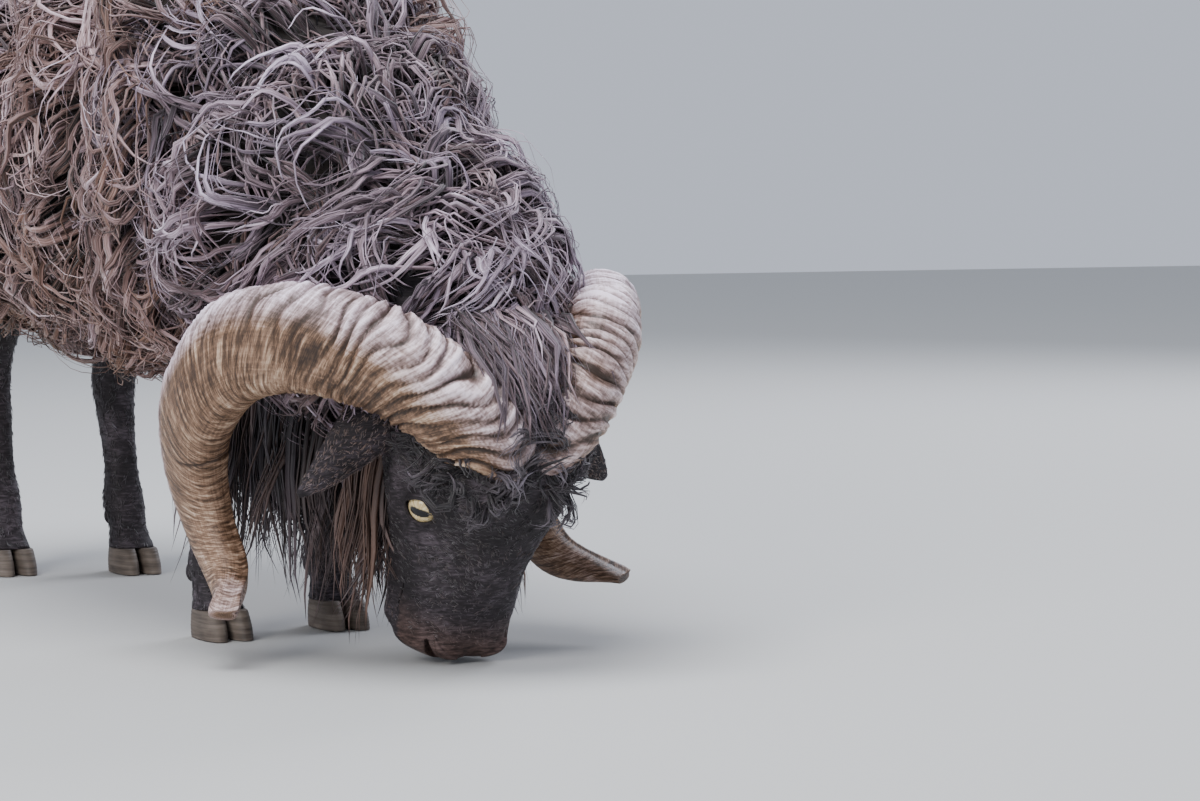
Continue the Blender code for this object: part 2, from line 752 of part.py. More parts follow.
def neck_locks(home, rng):
    made = []
    rows = numbered(NECK_SECTIONS)
    first, last = NECK_LOCK_SPAN
    for row in range(NECK_LOCK_ROWS):
        at = first + (last - first) * row / (NECK_LOCK_ROWS - 1)
        half, high = smooth_value(rows, at, 4), smooth_value(rows, at, 5)
        round_length = math.pi * (half + high)
        count = max(6, round(round_length / (NECK_LOCK_SIZE[1] * LOCK_SPACING)))
        for i in range(count):
            angle = math.tau * (i + 0.5 * (row % 2) + rng.uniform(-0.15, 0.15)) / count
            fall = math.cos(angle)
            down = -math.copysign(min(1.0, abs(fall) * HANG_SHARE), fall)
            length = NECK_LOCK_SIZE[0] * rng.uniform(0.88, 1.12)
            around = down * length * 0.75 / (round_length / math.tau)
            made.append(
                surface_lock(
                    neck_point,
                    at,
                    angle,
                    -length * 0.55 / 0.070,
                    around,
                    NECK_LOCK_SIZE,
                    NECK_HUG,
                    home,
                    rng,
                )
            )
    return made


def hanging_lock(root, lean, size, home, rng):
    # A lock of long hair that hangs from its root and swings a little with its lean
    length = size[0] * rng.uniform(0.85, 1.1)
    count = 4
    wave = rng.uniform(-1.0, 1.0)
    path, normals, draw = [], [], []
    for i in range(count):
        share = i / (count - 1)
        path.append(root + Vector(lean) * (share * share * length) - UP_AXIS * (share * length))
        normals.append(-BACK_AXIS)
        draw.append(HANGING_WAVE * wave * math.sin(math.tau * share))
    return lock_form(path, normals, size, home, draw)


def throat_locks(home, rng):
    made = []
    for row, (at, between, *size) in enumerate(THROAT_ROWS):
        for i in range(4):
            angle = -math.pi / 2 + (i - 1.5 + 0.5 * (row % 2)) * between
            root = neck_point(at, angle, COAT_DEPTH + 0.014)
            lean = ((i - 1.5) * 0.10, rng.uniform(-0.10, 0.15), 0.0)
            made.append(hanging_lock(root, lean, size, home, rng))
    return made


def topknot_locks(home, rng):
    # Wool of the nape that lies forward over the poll, between the horns
    made = []
    count = len(TOPKNOT_LINE)
    turn = HEAD_FRAME.to_3x3()
    for i in (-1, 0, 1):
        path, normals, draw = [], [], []
        lift = rng.uniform(-0.002, 0.004)
        for k, (back, up) in enumerate(TOPKNOT_LINE):
            share = k / (count - 1)
            sideways = i * TOPKNOT_SPREAD * (1.0 - 0.55 * share)
            path.append(HEAD_FRAME @ Vector((sideways, back, up + lift)))
            normals.append(turn @ Vector((0.3 * i, 0.5 - 1.3 * share, 1.0)).normalized())
            draw.append(0.0)
        made.append(lock_form(path, normals, TOPKNOT_LOCK_SIZE, home, draw))
    return made


# Legs, feet and tail


def leg_form(name, rows, sideways, y, extra, home):
    rings = []
    steps = 2
    table = numbered(rows)
    side = math.copysign(1.0, sideways)
    for r in range((len(rows) - 1) * steps + 1):
        back, out, height, long, wide = (smooth_value(table, r / steps, c) for c in range(1, 6))
        middle = Vector((sideways + side * out, y + back, height + (extra if r == 0 else 0.0)))
        rings.append(oval(middle, LEFT_AXIS, BACK_AXIS, wide + extra, long + extra, LEG_SIDES))
    return loft(name, rings, home)


def dewclaw(side, sideways, y, home):
    out, back, height = DEWCLAW_PLACE
    middle = Vector((sideways + side * out, y + back, height))
    return ball("dewclaw", middle, DEWCLAW_SIZE, home, 8, 6)


def claw_form(name, sideways, y, side, home):
    # One of the two toes of a foot, wedge shaped, flat underneath
    rings = []
    for height, heel, toe, half in CLAW_ROWS:
        middle = Vector(
            (sideways + side * CLAW_SPREAD, y - CLAW_FORWARD + (heel + toe) / 2, height)
        )
        rings.append(oval(middle, LEFT_AXIS, BACK_AXIS, half, (heel - toe) / 2, 12, 2.3))
    return loft(name, rings, home)


def tail_pieces(extra, home, rng):
    # The tail's core first, then its locks
    table = numbered(TAIL_ROWS)
    rings = []
    for r in range((len(TAIL_ROWS) - 1) * 2 + 1):
        y, z, wide, deep = (smooth_value(table, r / 2, c) for c in range(1, 5))
        rings.append(oval(Vector((0, y, z)), LEFT_AXIS, BACK_AXIS, wide + extra, deep + extra, 10))
    pieces = [loft("tail", rings, home)]
    length, width, thickness = TAIL_LOCK_SIZE
    size = (length, width + 2 * extra, thickness + 2 * extra)
    for row, height in enumerate((0.380, 0.330)):
        for i in range(3):
            sideways = (i - 1 + 0.3 * row) * 0.018
            root = Vector((sideways, 0.436 - 0.004 * row, height))
            lean = ((i - 1) * 0.12, 0.10, 0.0)
            pieces.append(hanging_lock(root, lean, size, home, rng))
    return pieces


def finish(made, kind, home):
    made.data.transform(Matrix.Translation(STAND))
    made.data.materials.clear()
    made.data.materials.append(material(kind))
    made.data.shade_smooth()
    home.objects.link(made)


def build():
    clear_scene()
    ram = collection("ouessant_ram")
    work = collection("work")
    rng = random.Random(SEED)
    clear_of_coat = []

    head = head_form("head", 0.0, work)
    rim = HORN_RIM - GAP / HORN_LENGTH
    for side in (-1, 1):
        pedicle = horn_form("pedicle", side, -PEDICLE_STEP, work, 0.0, rim, PEDICLE_RINGS)
        boolean(head, [pedicle], "UNION")
    head_wide = head_form("head_wide", GAP * 1.5, work)
    clear_of_coat.append(head_wide)
    for side, word in ((-1, "right"), (1, "left")):
        bulge = eye_ball("lid_bulge", side, EYE_RADIUS + GAP + LID_THICKNESS, work)
        boolean(head, [bulge], "UNION")
        socket = eye_ball("socket", side, EYE_RADIUS + GAP, work)
        boolean(socket, [slit_form(side, work)], "UNION")
        boolean(head, [socket, nostril_form(side, work)], "DIFFERENCE")
        finish(eye_ball("eye_" + word, side, EYE_RADIUS, work), "eye", ram)

        horn = horn_form("horn_" + word, side, 0.0, work, HORN_RIM, 1.0)
        boolean(horn, [head_wide], "DIFFERENCE")
        finish(horn, "horn", ram)
        horn_wide = horn_form("horn_wide", side, 2 * GAP, work, HORN_RIM, 1.0)
        root_wide = horn_form("root_wide", side, GAP, work, 0.0, rim, PEDICLE_RINGS)
        clear_of_coat.extend((horn_wide, root_wide))

        ear = ear_form("ear_" + word, side, 0.0, work)
        boolean(ear, [head_wide, root_wide], "DIFFERENCE")
        finish(ear, "ear", ram)
        clear_of_coat.append(ear_form("ear_wide", side, 6 * GAP, work))
    boolean(head, [mouth_form(work)], "DIFFERENCE")
    finish(head, "face", ram)

    for foot, sideways, y in FEET:
        rows = FORE_LEG if foot.startswith("fore") else HIND_LEG
        leg = leg_form("leg_" + foot, rows, sideways, y, 0.0, work)
        dews = [dewclaw(side, sideways, y, work) for side in (-1, 1)]
        boolean(leg, dews, "UNION")
        finish(leg, "leg", ram)
        clear_of_coat.append(leg_form("leg_wide", rows, sideways, y, GAP * 1.5, work))
        for side, toe in ((-1, "right"), (1, "left")):
            claw = claw_form("hoof_" + foot + "_" + toe, sideways, y, side, work)
            finish(claw, "hoof", ram)

    tail, *tail_locks = tail_pieces(0.0, work, random.Random(SEED))
    boolean(tail, tail_locks, "UNION")
    finish(tail, "fleece", ram)
    clear_of_coat.extend(tail_pieces(2 * GAP, work, random.Random(SEED)))

    torso = core_form(
        "torso", trunk_point, TRUNK_SECTIONS[0][0], TRUNK_SECTIONS[-1][0], TRUNK_RINGS, work
    )
    neck_core = core_form("neck_core", neck_point, 0.0, len(NECK_SECTIONS) - 1.0, NECK_RINGS, work)
    locks = trunk_locks(work, rng) + neck_locks(work, rng)
    locks += throat_locks(work, rng) + topknot_locks(work, rng)
    boolean(torso, [neck_core] + locks, "UNION")
    boolean(torso, clear_of_coat, "DIFFERENCE")
    neck = torso.copy()
    neck.data = torso.data.copy()
    neck.name = "neck"
    work.objects.link(neck)
    parting = Vector((0.0, FORE_Y - PARTING_FORWARD, PARTING_HEIGHT))
    boolean(torso, [slab("back", parting, PARTING_AXIS, work)], "INTERSECT")
    front = slab("front", parting + PARTING_AXIS * GAP, -PARTING_AXIS, work)
    boolean(neck, [front], "INTERSECT")
    finish(torso, "fleece", ram)
    finish(neck, "fleece", ram)

    for helper in list(work.objects):
        if helper.name in ram.objects:
            work.objects.unlink(helper)
        else:
            bpy.data.objects.remove(helper)
    bpy.data.collections.remove(work)


build()
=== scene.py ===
import math

import bpy
import numpy as np
from mathutils import Matrix, Vector


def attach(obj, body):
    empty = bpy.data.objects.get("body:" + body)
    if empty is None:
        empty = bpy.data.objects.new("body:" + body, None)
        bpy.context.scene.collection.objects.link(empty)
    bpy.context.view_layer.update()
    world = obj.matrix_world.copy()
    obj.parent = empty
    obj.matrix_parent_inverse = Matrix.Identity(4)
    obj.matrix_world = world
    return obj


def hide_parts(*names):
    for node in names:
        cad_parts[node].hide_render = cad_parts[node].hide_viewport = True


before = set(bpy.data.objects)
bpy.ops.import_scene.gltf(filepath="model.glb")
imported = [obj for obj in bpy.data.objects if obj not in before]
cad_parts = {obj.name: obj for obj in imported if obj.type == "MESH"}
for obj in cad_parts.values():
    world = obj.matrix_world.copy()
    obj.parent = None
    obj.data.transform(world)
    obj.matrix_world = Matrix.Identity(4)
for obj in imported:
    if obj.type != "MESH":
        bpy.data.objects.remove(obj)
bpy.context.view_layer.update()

print("frame loaded:", len(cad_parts), "nodes")

# The ram faces -Y, its left side is +X, and it grazes with its head between the forefeet


# Camera, lights and floor

studio = {
    "eye": (-1.0165, -2.55, 0.331),  # where the camera stands
    "heading": 27.5,  # degrees from +Y towards +X
    "dip": 3.69,  # degrees below level
    "lens": 111.75,
    "sensor": 36.0,
    "floorSize": 14.0,
}


def setStudio():
    bpy.ops.object.select_all(action="DESELECT")
    turn = (math.radians(90 - studio["dip"]), 0, -math.radians(studio["heading"]))
    bpy.ops.object.camera_add(location=studio["eye"], rotation=turn)
    camera = bpy.context.object
    camera.data.lens = studio["lens"]
    camera.data.sensor_width = studio["sensor"]
    bpy.context.scene.camera = camera

    bpy.ops.mesh.primitive_plane_add(size=studio["floorSize"], location=(0, 0, -0.0006))
    floor = bpy.context.object
    floor.name = "floor"
    bpy.ops.object.transform_apply(location=True)
    paper = Finish("floor_paper", Base_Color=(0.5, 0.5, 0.485, 1), Roughness=0.85)
    floor.data.materials.append(paper.material)

    lamps = (
        ("topLight", (-0.6, -0.5, 3.0), (0.0, 0.0, 0.3), 2.2, 120, (0.93, 0.95, 1.0)),
        ("frontLight", (-3.0, -2.2, 1.9), (0.0, -0.2, 0.2), 1.6, 82, (1.0, 0.97, 0.94)),
        ("rimLight", (2.6, 1.6, 2.0), (0.0, -0.1, 0.3), 1.5, 70, (0.88, 0.9, 1.0)),
    )
    for name, place, aim, size, power, colour in lamps:
        bpy.ops.object.light_add(type="AREA", location=place)
        lamp = bpy.context.object
        lamp.name = name
        lamp.data.shape = "DISK"
        lamp.data.size = size
        lamp.data.energy = power
        lamp.data.color = colour
        lamp.rotation_euler = (Vector(aim) - Vector(place)).to_track_quat("-Z", "Y").to_euler()
    world = bpy.data.worlds.new("paleSky")
    bpy.context.scene.world = world
    world.use_nodes = True
    sky = world.node_tree.nodes["Background"].inputs
    sky["Color"].default_value = (0.8, 0.86, 1.0, 1)
    sky["Strength"].default_value = 0.75
    print("studio set")


# Shader maths


class Flow:  # a socket that takes part in sums
    def __init__(self, finish, socket):
        self.finish = finish
        self.socket = socket

    def maths(self, operation, *values):
        return self.finish.node("ShaderNodeMath", {"operation": operation}, values)

    def __add__(self, other):
        return self.maths("ADD", self, other)

    def __sub__(self, other):
        return self.maths("SUBTRACT", self, other)

    def __rsub__(self, other):
        return self.maths("SUBTRACT", other, self)

    def __mul__(self, other):
        return self.maths("MULTIPLY", self, other)

    __radd__ = __add__
    __rmul__ = __mul__


class Finish:  # a material under construction
    def __init__(self, name, **fixed):
        self.material = bpy.data.materials.new(name)
        self.material.use_nodes = True
        self.tree = self.material.node_tree
        self.shader = self.tree.nodes["Principled BSDF"]
        for socket, value in fixed.items():
            self.shader.inputs[socket.replace("_", " ")].default_value = value

    def feed(self, socket, value):
        if isinstance(value, Flow):
            self.tree.links.new(value.socket, socket)
        else:
            socket.default_value = value

    def node(self, kind, settings, values=(), output=0):
        made = self.tree.nodes.new(kind)
        for key, value in settings.items():
            setattr(made, key, value)
        named = values.items() if isinstance(values, dict) else enumerate(values)
        for key, value in named:
            self.feed(made.inputs[key], value)
        return Flow(self, made.outputs[output])

    def place(self, stretch=(1, 1, 1)):
        spot = self.node("ShaderNodeTexCoord", {}, output="Object")
        return self.node("ShaderNodeMapping", {}, {"Vector": spot, "Scale": stretch})

    def attribute(self, name, output="Fac"):
        return self.node("ShaderNodeAttribute", {"attribute_name": name}, output=output)

    def noise(self, scale, detail=4, roughness=0.55, where=None):
        values = {"Scale": scale, "Detail": detail, "Roughness": roughness}
        values["Vector"] = where or self.place()
        return self.node("ShaderNodeTexNoise", {}, values)

    def ramp(self, factor, places, *colours):
        made = self.node("ShaderNodeValToRGB", {}, [factor])
        stops = made.socket.node.color_ramp.elements
        stops.remove(stops[1])
        stops[0].position = places[0]
        for place in places[1:]:
            stops.new(place)
        for stop, colour in zip(stops, colours):
            stop.color = (*colour, 1.0)
        return made

    def mix(self, share, first, second):
        first, second = (v if isinstance(v, Flow) else (*v, 1.0) for v in (first, second))
        return self.node("ShaderNodeMix", {"data_type": "RGBA"}, {0: share, 6: first, 7: second}, 2)

    def range(self, value, low, high, toLow=0.0, toHigh=1.0):
        return self.node("ShaderNodeMapRange", {}, [value, low, high, toLow, toHigh])

    def bump(self, height, strength, distance):
        values = {"Height": height, "Strength": strength, "Distance": distance}
        self.feed(self.shader.inputs["Normal"], self.node("ShaderNodeBump", {}, values))

    def colour(self, value):
        self.feed(self.shader.inputs["Base Color"], value)

    def rough(self, value):
        self.feed(self.shader.inputs["Roughness"], value)


def woolFinish():
    # Along a strand from its dark root, painted shade deep in the fleece, to its paler sun-bleached end with
    # a painted highlight; brown behind, and a bluish lavender painted sky sheen on top and at the nape
    wool = Finish("wool", Specular_IOR_Level=0.45, Sheen_Weight=0.25, Sheen_Roughness=0.4)
    along = wool.attribute("along")
    tone = wool.attribute("tone")
    fibre = wool.noise(1.0, 3, 0.6, wool.attribute("fibre", "Vector"))
    lines = wool.range(fibre, 0.36, 0.64, 0, 1)
    share = along * 0.48 + tone * 0.52 + lines * 0.38 + wool.noise(9.0, 3) * 0.4 - 0.41
    plain = wool.ramp(
        share, (0.05, 0.28, 0.5, 0.72, 0.95),
        (0.012, 0.007, 0.006), (0.082, 0.043, 0.036), (0.26, 0.158, 0.152),
        (0.51, 0.352, 0.376), (0.86, 0.7, 0.8),
    )
    warm = wool.ramp(
        share, (0.05, 0.32, 0.65, 0.95),
        (0.016, 0.008, 0.005), (0.105, 0.05, 0.029), (0.34, 0.188, 0.128), (0.68, 0.45, 0.36),
    )
    # The bluish lavender palette is painted sky sheen
    cool = wool.ramp(
        share, (0.05, 0.35, 0.65, 0.95),
        (0.014, 0.009, 0.013), (0.125, 0.094, 0.124), (0.4, 0.32, 0.43), (0.84, 0.76, 0.93),
    )
    coat = wool.mix(wool.attribute("warm"), plain, warm)
    wool.colour(wool.mix(wool.attribute("cool"), coat, cool))
    wool.rough(wool.range(share, 0, 1, 0.78, 0.55))
    wool.bump(lines, 0.6, 0.0008)
    return wool.material


def throatFinish():
    # The long straight hair of the throat is nearly black
    hair = Finish("throat_hair", Specular_IOR_Level=0.5)
    fibre = hair.noise(1.0, 3, 0.6, hair.attribute("fibre", "Vector"))
    share = hair.attribute("along") * 0.4 + hair.attribute("tone") * 0.5 + fibre * 0.3 - 0.1
    black = hair.ramp(
        share, (0.15, 0.55, 0.95),
        (0.006, 0.005, 0.006), (0.036, 0.028, 0.034), (0.22, 0.17, 0.19),
    )
    brown = hair.ramp(
        share, (0.15, 0.95),
        (0.016, 0.007, 0.005), (0.3, 0.175, 0.125),
    )
    hair.colour(hair.mix(hair.attribute("warm"), black, brown))
    hair.rough(hair.range(share, 0, 1, 0.55, 0.4))
    return hair.material


def furFinish(name, lift):
    # The short hair: black on face and legs, lifted to a greyer tone on the ears, with a painted bluish
    # sheen in soft noise patches
    fur = Finish(name, Specular_IOR_Level=0.5, Sheen_Weight=0.2, Sheen_Roughness=0.4)
    spread = fur.attribute("along") * 0.32 + fur.attribute("tone") * 0.34
    share = spread + fur.noise(26.0, 3) * 0.62 + (lift - 0.12)
    black = fur.ramp(
        share, (0.2, 0.5, 0.72, 0.95),
        (0.008, 0.006, 0.007), (0.024, 0.018, 0.021), (0.085, 0.068, 0.08), (0.34, 0.29, 0.35),
    )
    brown = fur.ramp(
        share, (0.2, 0.9),
        (0.02, 0.01, 0.007), (0.3, 0.19, 0.15),
    )
    fur.colour(fur.mix(fur.attribute("warm"), black, brown))
    fur.rough(fur.range(share, 0, 1, 0.58, 0.38))
    return fur.material


def skinFinish():
    # Skin under the coat, with the flat hair of face and legs as bump
    skin = Finish("skin", Specular_IOR_Level=0.35)
    hairs = skin.noise(620.0, 4, 0.7, skin.place((0.2, 0.2, 1.0)))
    pores = skin.noise(260.0, 4, 0.65)
    onPad = skin.attribute("wet")
    grain = hairs * (1 - onPad) + pores * onPad
    blotch = skin.noise(26.0, 4)
    # The paler bluish end of this ramp, along the hair grain, is painted sheen
    black = skin.ramp(
        grain * 0.6 + blotch * 0.4, (0.34, 0.5, 0.64),
        (0.006, 0.004, 0.005), (0.022, 0.017, 0.02), (0.1, 0.08, 0.094),
    )
    bare = skin.ramp(
        grain * 0.5 + blotch * 0.5, (0.32, 0.66),
        (0.06, 0.048, 0.052), (0.42, 0.35, 0.4),
    )
    brown = skin.ramp(
        grain, (0.35, 0.68),
        (0.024, 0.012, 0.009), (0.18, 0.11, 0.092),
    )
    coat = skin.mix(skin.attribute("warm"), black, brown)
    shown = skin.mix(skin.attribute("bare"), coat, bare)
    # Where the fleece covers it, the skin is painted nearly black: its own dark colour deepened as painted
    # shade under the fleece
    skin.colour(skin.mix(skin.attribute("under"), shown, (0.014, 0.009, 0.007)))
    skin.rough(skin.range(skin.attribute("wet"), 0, 1, 0.7, 0.28))
    skin.bump(grain * 0.7 + blotch * 0.3, 0.65, 0.0018)
    return skin.material


def hornFinish():
    # Growth lines cross the horn, painted shade lies in its grooves and cracks, and its fold crests and
    # outer edge carry a painted pale lavender highlight
    horn = Finish("horn_sheath", Specular_IOR_Level=0.5)
    lines = horn.noise(1.0, 6, 0.7, horn.attribute("ringSpace", "Vector"))
    fibre = horn.noise(1.0, 5, 0.65, horn.attribute("fibreSpace", "Vector"))
    patch = horn.noise(20.0, 4)
    height = horn.attribute("height")
    # The height term lightens the fold crests as a painted highlight
    share = lines * 1.0 + patch * 0.45 + fibre * 0.25 + height * 0.34 - 0.54
    tan = horn.ramp(
        share, (0.3, 0.42, 0.52, 0.62, 0.74),
        (0.03, 0.014, 0.007), (0.1, 0.053, 0.028), (0.26, 0.15, 0.092),
        (0.48, 0.33, 0.225), (0.78, 0.62, 0.49),
    )
    pale = horn.ramp(
        share, (0.3, 0.48, 0.66),
        (0.12, 0.074, 0.062), (0.45, 0.345, 0.38), (0.92, 0.79, 0.92),
    )
    # Painted highlight: the pale lavender on the outer edge and the fold crests
    paleHighlight = horn.attribute("crest") + fibre * 0.5 + patch * 1.1 + lines * 0.5 + height * 0.45
    paleHighlight = horn.range(paleHighlight, 1.5, 2.35)
    shown = horn.mix(paleHighlight, tan, pale)
    # Painted shade in the valleys between the folds and in the cracks
    horn.colour(horn.mix(horn.attribute("valleyShade"), shown, (0.03, 0.015, 0.008)))
    horn.rough(horn.range(share, 0.35, 0.65, 0.42, 0.62))
    horn.bump(lines * 0.8 + fibre * 0.05 + patch * 0.15, 0.55, 0.0016)
    return horn.material


def hoofFinish():
    hoof = Finish("hoof_horn", Specular_IOR_Level=0.35)
    lines = hoof.noise(60.0, 4, 0.6, hoof.place((0.35, 0.35, 5.0)))
    dirt = hoof.noise(45.0, 4)
    base = hoof.ramp(
        lines * 0.6 + dirt * 0.4, (0.32, 0.52, 0.72),
        (0.04, 0.03, 0.024), (0.135, 0.108, 0.088), (0.26, 0.215, 0.18),
    )
    hoof.colour(base)
    hoof.rough(hoof.range(dirt, 0.3, 0.7, 0.55, 0.8))
    hoof.bump(lines, 0.5, 0.001)
    return hoof.material


def eyeFinish():
    # A level slot pupil in a pale amber iris, with a dark rim, from two attributes
    eye = Finish("eye_glass", Roughness=0.16, Specular_IOR_Level=0.25, Coat_Weight=0.35, Coat_Roughness=0.04)
    out = eye.attribute("fromAxis")
    slot = eye.attribute("slot")
    rays = eye.noise(1.0, 4, 0.6, eye.attribute("raySpace", "Vector"))
    iris = eye.ramp(
        rays, (0.3, 0.5, 0.75),
        (0.42, 0.26, 0.09), (0.74, 0.58, 0.3), (0.92, 0.84, 0.6),
    )
    ringed = eye.mix(eye.range(out, 0.7, 0.8), iris, (0.06, 0.035, 0.018))
    white = eye.mix(eye.range(out, 0.8, 0.9), ringed, (0.3, 0.24, 0.19))
    eye.colour(eye.mix(slot, white, (0.004, 0.004, 0.006)))
    return eye.material


# Shapes of the body, as functions of a place along it and an angle round it


def smoothRows(rows, at):
    # Catmull-Rom through rows whose first column is the place, for an array of places
    rows = np.asarray(rows, float)
    at = np.clip(np.asarray(at, float), rows[0, 0], rows[-1, 0])
    k = np.clip(np.searchsorted(rows[:, 0], at) - 1, 0, len(rows) - 2)
    before, start = rows[np.maximum(k - 1, 0)], rows[k]
    end, after = rows[k + 1], rows[np.minimum(k + 2, len(rows) - 1)]
    span = (end - start)[..., :1]
    share = (at[..., None] - start[..., :1]) / span
    slopeIn = (end - before) / (end - before)[..., :1] * span
    slopeOut = (after - start) / (after - start)[..., :1] * span
    squared, cubed = share**2, share**3
    return (
        (2 * cubed - 3 * squared + 1) * start
        + (cubed - 2 * squared + share) * slopeIn
        + (3 * squared - 2 * cubed) * end
        + (cubed - squared) * slopeOut
    )


def evenRows(rows, at):
    # The same for rows one apart, which carry no place of their own
    return smoothRows([(float(i), *row) for i, row in enumerate(rows)], at)


def ends(rows):  # the first and the last place
    return rows[0][0], rows[-1][0]


def roundShare(angle, power):
    c, s = np.cos(angle), np.sin(angle)
    return np.sign(c) * np.abs(c) ** (2 / power), np.sign(s) * np.abs(s) ** (2 / power)


def lengths(vectors):
    return np.linalg.norm(vectors, axis=-1)


def unit(vectors):
    return vectors / np.maximum(lengths(vectors)[..., None], 1e-9)


def turnsOf(sides):
    return np.linspace(0, math.tau, sides, endpoint=False)


def mirrored(vectors, side):
    return np.asarray(vectors) * (side, 1.0, 1.0)


def ease(value, low, high):
    share = np.clip((value - low) / (high - low), 0, 1)
    return share * share * (3 - 2 * share)


bothSides = ((-1, "right"), (1, "left"))
standShift = np.array((-0.0115, -0.004, 0.0))  # as in the solids, so that the box is centred
foreY, hindY = -0.118, 0.3  # where the fore and hind feet stand


def spotsAt(x, y, z):
    return np.stack(np.broadcast_arrays(x, y, z), -1) + standShift


trunk = {
    # distance behind the front feet, height, half width, half height, at the coat's tips
    "rows": (
        (-0.13, 0.325, 0.04, 0.05), (-0.105, 0.328, 0.095, 0.115), (-0.055, 0.333, 0.138, 0.16),
        (0.01, 0.339, 0.158, 0.178), (0.1, 0.345, 0.17, 0.172), (0.2, 0.346, 0.174, 0.167),
        (0.31, 0.349, 0.167, 0.163), (0.4, 0.354, 0.148, 0.155), (0.47, 0.359, 0.118, 0.134),
        (0.515, 0.362, 0.078, 0.095), (0.535, 0.362, 0.03, 0.038),
    ),
    "squareness": 2.25,
    "coatDepth": 0.03,
    "rings": 90,
    "sides": 96,
}


def trunkAt(at, angle, depth):
    rows = smoothRows(trunk["rows"], at)
    first, last = ends(trunk["rows"])
    centre = (first + last) / 2
    y = foreY + centre + (at - centre) * (1 - depth / (last - centre))
    across, up = roundShare(angle, trunk["squareness"])
    half = np.maximum(rows[..., 2] - depth, 0.006)
    high = np.maximum(rows[..., 3] - depth, 0.008)
    return spotsAt(across * half, y, rows[..., 1] + up * high)


neck = {
    # forward of the front feet, sideways, height, half sizes, at the coat's tips
    "rows": (
        (-0.06, 0.0, 0.35, 0.14, 0.15), (0.01, 0.004, 0.333, 0.14, 0.146),
        (0.08, 0.014, 0.296, 0.132, 0.132), (0.15, 0.031, 0.25, 0.119, 0.113),
        (0.212, 0.046, 0.208, 0.099, 0.09), (0.246, 0.051, 0.186, 0.066, 0.06),
        (0.258, 0.053, 0.178, 0.026, 0.026),
    ),
    "squareness": 2.1,
    "rings": 60,
    "sides": 72,
}
neckEnd = len(neck["rows"]) - 1.0


def neckMiddle(at):
    rows = evenRows(neck["rows"], at)
    return np.stack([rows[..., 2], foreY - rows[..., 1], rows[..., 3]], -1)


def neckAt(at, angle, depth):
    rows = evenRows(neck["rows"], at)
    ahead, behind = np.minimum(at + 0.05, neckEnd), np.maximum(at - 0.05, 0.0)
    along = unit(neckMiddle(ahead) - neckMiddle(behind))
    up = unit(np.cross(along, (1.0, 0.0, 0.0)))
    left = np.cross(up, along)
    across, rise = roundShare(angle, neck["squareness"])
    half = np.maximum(rows[..., 4] - depth, 0.005)
    high = np.maximum(rows[..., 5] - depth, 0.005)
    end = np.maximum(0.0, at - (neckEnd - 1)) * depth
    spot = neckMiddle(at) - along * end[..., None]
    spot = spot + left * (across * half)[..., None] + up * (rise * high)[..., None]
    return spot + standShift


head = {
    "place": (0.05, -0.405, 0.163),
    "turn": 5.0,
    "roll": 1.0,
    "tuck": 24.0,
    # distance towards the nose, brow line, jaw line, half width, squareness
    "rows": (
        (-0.036, -0.024, -0.062, 0.018, 2.2), (-0.03, 0.004, -0.084, 0.036, 2.4),
        (-0.014, 0.02, -0.1, 0.046, 2.5), (0.016, 0.028, -0.112, 0.05, 2.5),
        (0.05, 0.03, -0.119, 0.049, 2.4), (0.08, 0.024, -0.117, 0.045, 2.4),
        (0.11, 0.017, -0.105, 0.041, 2.4), (0.138, 0.011, -0.088, 0.038, 2.5),
        (0.162, 0.007, -0.073, 0.037, 2.6), (0.174, -0.002, -0.062, 0.033, 2.5),
        (0.182, -0.015, -0.048, 0.022, 2.2),
    ),
    # swellings and hollows: sideways, towards the nose, out of the face, rise, spread
    "swellings": (
        (0.046, 0.062, -0.006, 0.006, 0.014), (0.034, 0.048, 0.024, 0.0046, 0.012),
        (0.042, 0.094, 0.004, -0.0046, 0.013), (0.045, 0.1, -0.03, 0.0022, 0.013),
        (0.046, 0.045, -0.084, 0.004, 0.022), (0.02, 0.17, -0.004, 0.0026, 0.008),
        (0.028, 0.168, -0.026, 0.002, 0.01), (0.041, 0.086, -0.013, -0.003, 0.005),
        (0.037, 0.1, -0.004, -0.0022, 0.006), (0.046, 0.076, -0.05, 0.004, 0.012),
        (0.0, 0.18, -0.014, -0.0026, 0.004), (0.01, 0.178, 0.001, 0.005, 0.008),
        (0.027, 0.172, 0.002, 0.0034, 0.006), (0.03, 0.156, 0.0, -0.003, 0.005),
        (0.036, 0.112, 0.004, -0.003, 0.012), (0.042, 0.122, -0.018, 0.003, 0.01),
        (0.0, 0.095, 0.022, 0.0026, 0.022), (0.034, 0.168, -0.028, 0.0036, 0.006),
        (0.034, 0.164, -0.048, 0.0034, 0.006), (0.02, 0.18, -0.03, 0.0026, 0.006),
        (0.02, 0.178, -0.047, 0.003, 0.006), (0.03, 0.15, -0.03, 0.0016, 0.009),
        (0.018, 0.168, -0.052, 0.0022, 0.01), (0.022, 0.03, 0.03, 0.0022, 0.012),
    ),
    "sides": 132,
    "rings": 170,
}
headTurn = Matrix.Rotation(math.radians(head["turn"]), 3, "Z")
headTurn = np.array(headTurn @ Matrix.Rotation(-math.radians(head["roll"]), 3, "Y"))
tuck = math.radians(head["tuck"])
noseAxis = np.array((0.0, math.sin(tuck), -math.cos(tuck)))
faceAxis = np.array((0.0, -math.cos(tuck), -math.sin(tuck)))
leftAxis = np.array((1.0, 0.0, 0.0))


def inHead(spots):
    # From the head's own axes (left, back, up) to the frame
    return np.asarray(spots) @ headTurn.T + np.array(head["place"]) + standShift


def facePoint(sideways, nose, face):
    stack = [np.asarray(v, float)[..., None] for v in (sideways, nose, face)]
    return inHead(stack[0] * leftAxis + stack[1] * noseAxis + stack[2] * faceAxis)


def faceDirection(sideways, nose, face):
    return unit((sideways * leftAxis + nose * noseAxis + face * faceAxis) @ headTurn.T)


